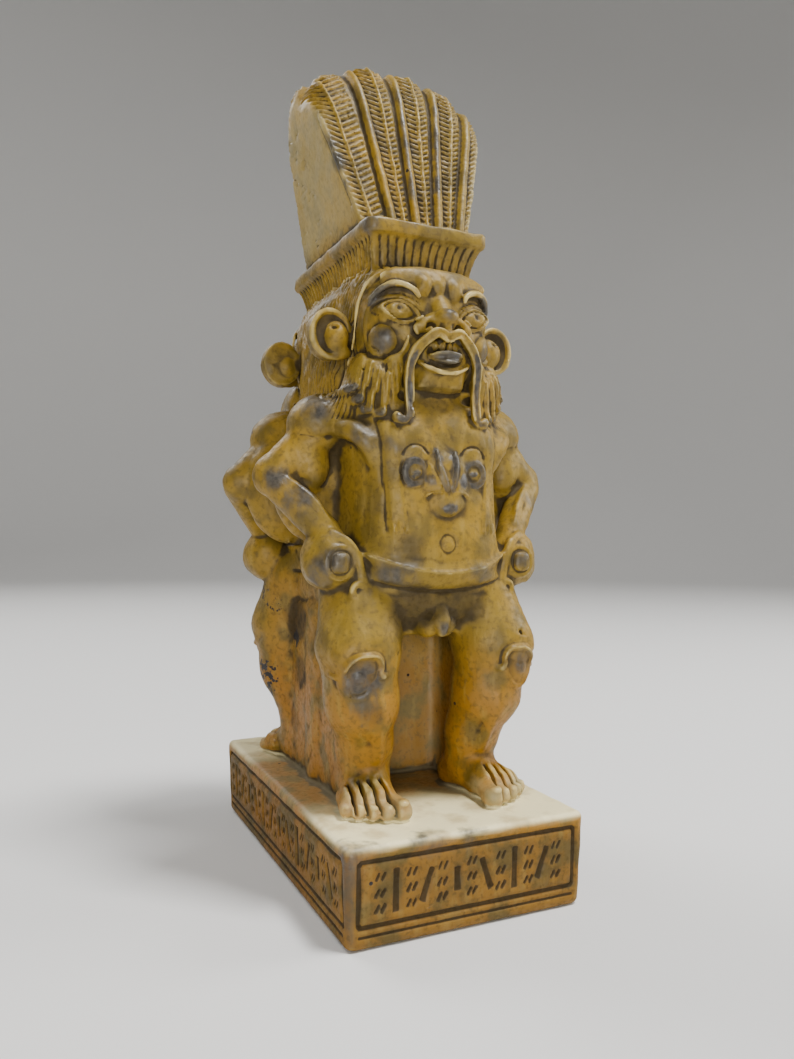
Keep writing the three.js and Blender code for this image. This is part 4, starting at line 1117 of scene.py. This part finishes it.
def rib_wear(points):
    """The dark worn flank of the crown's ribs, on both figures."""
    x, y, z = points.T
    height = z - CROWN_FOOT
    width, _ = crown_half(height)
    side = np.clip(x * np.sign(y) / width, -1, 1)
    away = rib_distance(side, width)
    along = smooth(5, 14, height) * smooth(46, 36, height) * smooth(0.75, 0.3, np.abs(side - 0.1))
    return 0.95 * smooth(0.9, 0.4, np.abs(away + 0.3)) * along * (height > 0)


def cream(points):
    """The pale deposit on the plinth's top before the feet, the toes, the wall and the crown's sides."""
    x, y, z = np.abs(points[:, 0]), np.abs(points[:, 1]), points[:, 2]
    top = smooth(-1.6, -0.2, z) * (1 - smooth(0.3, 1, z)) * mix(0.12, 1, smooth(16, 34, y))
    toes = smooth(30, 33, y) * (1 - smooth(4, 6, z)) * smooth(0.2, 1, z)
    height = z - CROWN_FOOT
    crown = smooth(0, 6, height) * smooth(1.4, 0.6, np.abs(x - crown_half(height)[0]))
    wall = smooth(9, 6, y) * smooth(18, 15, x) * smooth(44, 38, z) * smooth(0.5, 3, z)
    return np.max([top, 0.22 * toes, 0.17 * crown, 0.12 * wall], 0)


def warm(points):
    """Where the ochre is more orange: the lower legs, the wall between them and the plinth's sides."""
    y, z = np.abs(points[:, 1]), points[:, 2]
    legs = smooth(44, 22, z) * mix(0.75, 1, smooth(26, 20, y))
    return np.maximum(legs, 0.5 * smooth(60, 48, z) * smooth(24, 18, y))


CREVICE_RADIUS = 0.9
HOLLOW_RADIUS = 4.0


def paint(clay, mesh):
    """The values that the material reads at each vertex."""
    points = from_frame(mesh)
    x, y, z = np.abs(points[:, 0]), np.abs(points[:, 1]), points[:, 2]
    # the low wall between the legs and the gap inside the arm are open to the light, so they get less
    # painted shade
    open_wall = smooth(50, 42, z) * smooth(18, 15, x) * smooth(30, 24, y) * (z > 2)
    arm_gap = smooth(60, 64, z) * smooth(90, 86, z) * smooth(15, 18, x)
    # painted shade on the plinth's sides, below its top edge
    plinth_side_shade = smooth(-1.5, -4, z)
    cavity = around(clay, points, CREVICE_RADIUS)
    # painted shade in hollows, from how much clay lies round each point within a wider reach
    painted_shade = around(clay, points, HOLLOW_RADIUS) * (1 - 0.9 * open_wall) * (1 - 0.45 * arm_gap)
    values = {
        "cavity": cavity - 0.7 * open_wall * np.maximum(cavity, 0),
        # painted shade: hollows, patches under the chin and belt and between the figures, and the plinth's
        # sides
        "painted_shade": np.max([painted_shade, 0.85 * spots(points, SHADE_PATCHES), 0.42 * plinth_side_shade], 0),
        "worn": np.max([spots(points, WORN), rib_wear(points), line_wear(points)], 0),
        "warm": warm(points),
        "char": spots(points, CHARRED),
        "cream": cream(points),
    }
    for name, value in values.items():
        layer = mesh.attributes.new(name, "FLOAT", "POINT")
        layer.data.foreach_set("value", value.astype(np.float32))


class Nodes:
    """Short ways to make a material's nodes. A value is a number, a colour or another node's output."""
    def __init__(self, material):
        material.use_nodes = True
        self.tree = material.node_tree
        self.shader = self.tree.nodes["Principled BSDF"]
        self.place = self.make("TexCoord", {}, "Object")

    def put(self, socket, value):
        if hasattr(value, "is_output"):
            self.tree.links.new(value, socket)
        else:
            socket.default_value = value

    def make(self, kind, inputs, output, **settings):
        node = self.tree.nodes.new("ShaderNode" + kind)
        for name, value in settings.items():
            setattr(node, name, value)
        for name, value in inputs.items():
            self.put(node.inputs[name], value)
        return node.outputs[output]

    def attribute(self, name):
        return self.make("Attribute", {}, "Fac", attribute_name=name)

    def noise(self, scale, detail, stretch=(1, 1, 1)):
        place = self.make("Mapping", {"Vector": self.place, "Scale": stretch}, "Vector")
        return self.make("TexNoise", {"Vector": place, "Scale": scale, "Detail": detail}, "Fac")

    def ramp(self, value, low, high, start=0.0, end=1.0):
        inputs = {"Value": value, "From Min": low, "From Max": high, "To Min": start, "To Max": end}
        return self.make("MapRange", inputs, "Result", interpolation_type="SMOOTHSTEP")

    def blend(self, share, a, b):
        return self.make("Mix", {"Factor": share, 6: a, 7: b}, 2, data_type="RGBA")

    def plus(self, a, b):
        return self.make("Math", {0: a, 1: b}, 0, operation="ADD")

    def minus(self, a, b):
        return self.make("Math", {0: a, 1: b}, 0, operation="SUBTRACT")

    def times(self, a, b):
        return self.make("Math", {0: a, 1: b}, 0, operation="MULTIPLY")

    def most(self, a, b):
        return self.make("Math", {0: a, 1: b}, 0, operation="MAXIMUM")


OLIVE = (0.19, 0.12, 0.008, 1)
OCHRE = (0.25, 0.145, 0.006, 1)
ORANGE = (0.27, 0.115, 0.002, 1)
BROWN = (0.115, 0.075, 0.008, 1)
RUBBED = (0.32, 0.21, 0.04, 1)
GRAIN = (0.075, 0.046, 0.006, 1)
PAINTED_HIGHLIGHT = (0.6, 0.46, 0.16, 1)
CREVICE_SHADE = (0.022, 0.014, 0.004, 1)
DEPOSIT = (0.86, 0.76, 0.43, 1)
SLATE = ((0.024, 0.025, 0.028, 1), (0.066, 0.06, 0.05, 1))
SCORCH = (0.012, 0.01, 0.009, 1)
BUMP_DEPTH = 0.0003


def ground(n, edge, deep, broad, middle, fine, rubbed):
    """Ochre, orange low down and brown in patches, with painted highlights on thin edges, painted shade in
    creases and hollows, and a deposit.
    """
    colour = n.blend(n.ramp(broad, 0.35, 0.65), OLIVE, OCHRE)
    colour = n.blend(n.attribute("warm"), colour, ORANGE)
    colour = n.blend(n.ramp(middle, 0.45, 0.65, 0, 0.9), colour, BROWN)
    colour = n.blend(n.ramp(rubbed, 0.5, 0.75, 0, 0.45), colour, RUBBED)
    colour = n.blend(n.ramp(fine, 0.5, 0.7, 0, 0.55), colour, GRAIN)
    # painted highlight: thin raised edges made paler, where a satin surface would catch the light
    colour = n.blend(n.times(edge, n.ramp(rubbed, 0.3, 0.6, 0.2, 0.75)), colour, PAINTED_HIGHLIGHT)
    # painted shade: creases and hollows darkened towards dark brown
    colour = n.blend(n.ramp(deep, 0, 1, 0, 0.9), colour, CREVICE_SHADE)
    pale = n.times(n.attribute("cream"), n.ramp(middle, 0.3, 0.55, 0.6, 1.0))
    return n.blend(pale, colour, DEPOSIT)


def bare_patches(n, deep, middle, rubbed):
    """Where the slate-grey core shows: ragged patches, fainter in hollows."""
    ragged = n.plus(n.times(middle, 1.2), n.times(rubbed, 1.1))
    patch = n.ramp(n.plus(n.attribute("worn"), n.minus(ragged, 1.15)), 0.3, 1.15)
    return n.times(patch, n.ramp(deep, 0.15, 0.7, 1.0, 0.25))


def black_specks(n):
    """Scorched flakes and small pores."""
    char = n.attribute("char")
    flakes = n.times(n.minus(n.noise(700, 5), 0.5), 3.2)
    flakes = n.times(n.ramp(n.plus(char, flakes), 0.62, 0.8), n.ramp(char, 0.05, 0.3))
    pores = n.make("TexVoronoi", {"Vector": n.place, "Scale": 85}, "Distance")
    return n.most(flakes, n.ramp(pores, 0.045, 0.03))


def make_material():
    material = bpy.data.materials.new("carved stone")
    n = Nodes(material)
    broad, middle, fine = n.noise(38, 3), n.noise(150, 5), n.noise(900, 4)
    rubbed = n.noise(420, 4, (1, 1, 0.25))
    cavity = n.attribute("cavity")
    # thin raised edges, which get a painted highlight
    edge = n.ramp(cavity, -0.24, -0.56)
    # creases and hollows, which get painted shade
    deep = n.plus(n.ramp(cavity, 0.0, 0.24), n.ramp(n.attribute("painted_shade"), 0.2, 0.6, 0, 0.8))
    deep = n.times(deep, n.ramp(middle, 0.2, 0.6, 0.7, 1.0))
    bare = bare_patches(n, deep, middle, rubbed)
    black = black_specks(n)

    colour = ground(n, edge, deep, broad, middle, fine, rubbed)
    colour = n.blend(n.times(bare, 0.9), colour, n.blend(n.ramp(fine, 0.35, 0.7), *SLATE))
    colour = n.blend(black, colour, SCORCH)
    rough = n.ramp(fine, 0.3, 0.7, 0.44, 0.6)
    rough = n.minus(rough, n.times(n.most(bare, n.times(edge, 0.7)), 0.16))
    rough = n.plus(rough, n.times(deep, 0.25))
    grain = n.plus(n.times(fine, 0.5), n.times(rubbed, 0.35))
    grain = n.plus(grain, n.times(n.noise(2600, 3), 0.3))
    grain = n.plus(grain, n.times(middle, 0.8))
    grain = n.minus(grain, n.times(black, 0.8))
    bump = n.make("Bump", {"Strength": 0.5, "Distance": BUMP_DEPTH, "Height": grain}, "Normal")
    n.put(n.shader.inputs["Base Color"], colour)
    n.put(n.shader.inputs["Roughness"], rough)
    n.put(n.shader.inputs["Normal"], bump)
    n.put(n.shader.inputs["Specular IOR Level"], 0.35)
    return material


FLOOR_RADIUS = 1.4
SWEEP_RADIUS = 0.7
WALL_TOP = 2.6
FLOOR_SIDES = 64


def make_stage():
    """A round pale floor that curves up into a wall far behind everything."""
    profile = [(0.001, 0), (FLOOR_RADIUS, 0)]
    for a in np.linspace(0.1, math.pi / 2, 12):
        profile.append((FLOOR_RADIUS + SWEEP_RADIUS * math.sin(a), SWEEP_RADIUS * (1 - math.cos(a))))
    profile.append((FLOOR_RADIUS + SWEEP_RADIUS, WALL_TOP))
    turns = [2 * math.pi * i / FLOOR_SIDES for i in range(FLOOR_SIDES)]
    points = [(r * math.cos(a), r * math.sin(a), z) for r, z in profile for a in turns]
    faces = []
    for row in range(0, len(points) - FLOOR_SIDES, FLOOR_SIDES):
        for i in range(FLOOR_SIDES):
            j = (i + 1) % FLOOR_SIDES
            faces.append((row + i, row + j, row + FLOOR_SIDES + j, row + FLOOR_SIDES + i))
    mesh = bpy.data.meshes.new("floor")
    mesh.from_pydata(points, [], faces)
    mesh.polygons.foreach_set("use_smooth", np.ones(len(faces), bool))
    floor = add_object("floor", mesh)
    pale = bpy.data.materials.new("pale floor")
    n = Nodes(pale)
    n.put(n.shader.inputs["Base Color"], (0.72, 0.71, 0.69, 1))
    n.put(n.shader.inputs["Roughness"], 0.9)
    mesh.materials.append(pale)


# Soft lights, as [name, place, height it points at, size, power]
LIGHTS = (
    ("key", (0.24, -0.3, 1.05), 0.1, 0.22, 14.5),
    ("front", (-0.3, -0.75, 0.12), 0.06, 0.3, 4.4),
    ("side", (0.85, -0.2, 0.5), 0.12, 0.4, 5),
    ("back", (-0.35, 0.75, 0.85), 0.12, 0.5, 7),
)


def make_lights():
    for name, place, aim, size, power in LIGHTS:
        lamp = bpy.data.lights.new(name, "AREA")
        lamp.size = size
        lamp.energy = power
        light = add_object(name, lamp)
        light.location = place
        light.rotation_euler = (Vector(place) - Vector((0, 0, aim))).to_track_quat("Z", "Y").to_euler()
    world = bpy.data.worlds.new("studio")
    world.use_nodes = True
    world.node_tree.nodes["Background"].inputs["Color"].default_value = (0.95, 0.97, 1, 1)
    world.node_tree.nodes["Background"].inputs["Strength"].default_value = 0.17
    bpy.context.scene.world = world


# The camera, fitted to the photograph: its place in millimetres, its yaw, pitch and roll in
# degrees, and its focal length in pixels of the photograph
CAMERA_PLACE = (-90.56, -205.54, 84.61)
CAMERA_TURN = (-24.87, 0.41, 0.249)
FOCAL_LENGTH = 831.35
PHOTO_HEIGHT = 1059
SENSOR_HEIGHT = 36


def make_camera():
    yaw, pitch, roll = (math.radians(a) for a in CAMERA_TURN)
    ahead = Vector((-math.sin(yaw) * math.cos(pitch), math.cos(yaw) * math.cos(pitch), math.sin(pitch)))
    level = Vector((math.cos(yaw), math.sin(yaw), 0))
    upright = level.cross(ahead)
    right = level * math.cos(roll) + upright * math.sin(roll)
    up = upright * math.cos(roll) - level * math.sin(roll)
    lens = bpy.data.cameras.new("camera")
    lens.sensor_fit = "VERTICAL"
    lens.sensor_height = SENSOR_HEIGHT
    lens.lens = FOCAL_LENGTH / PHOTO_HEIGHT * SENSOR_HEIGHT
    lens.clip_start = 0.01
    camera = add_object("camera", lens)
    turn = Matrix((right, up, -ahead)).transposed().to_4x4()
    camera.matrix_world = Matrix.Translation(Vector(CAMERA_PLACE) * MM) @ turn
    bpy.context.scene.camera = camera


clay = shape_all()
roughen(clay)
figure = mesh_of(clay, "bes_figure_carved")
paint(clay, figure.data)
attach(figure, "root")
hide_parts("bes_figure")

figure.data.materials.append(make_material())
make_stage()
make_camera()
make_lights()
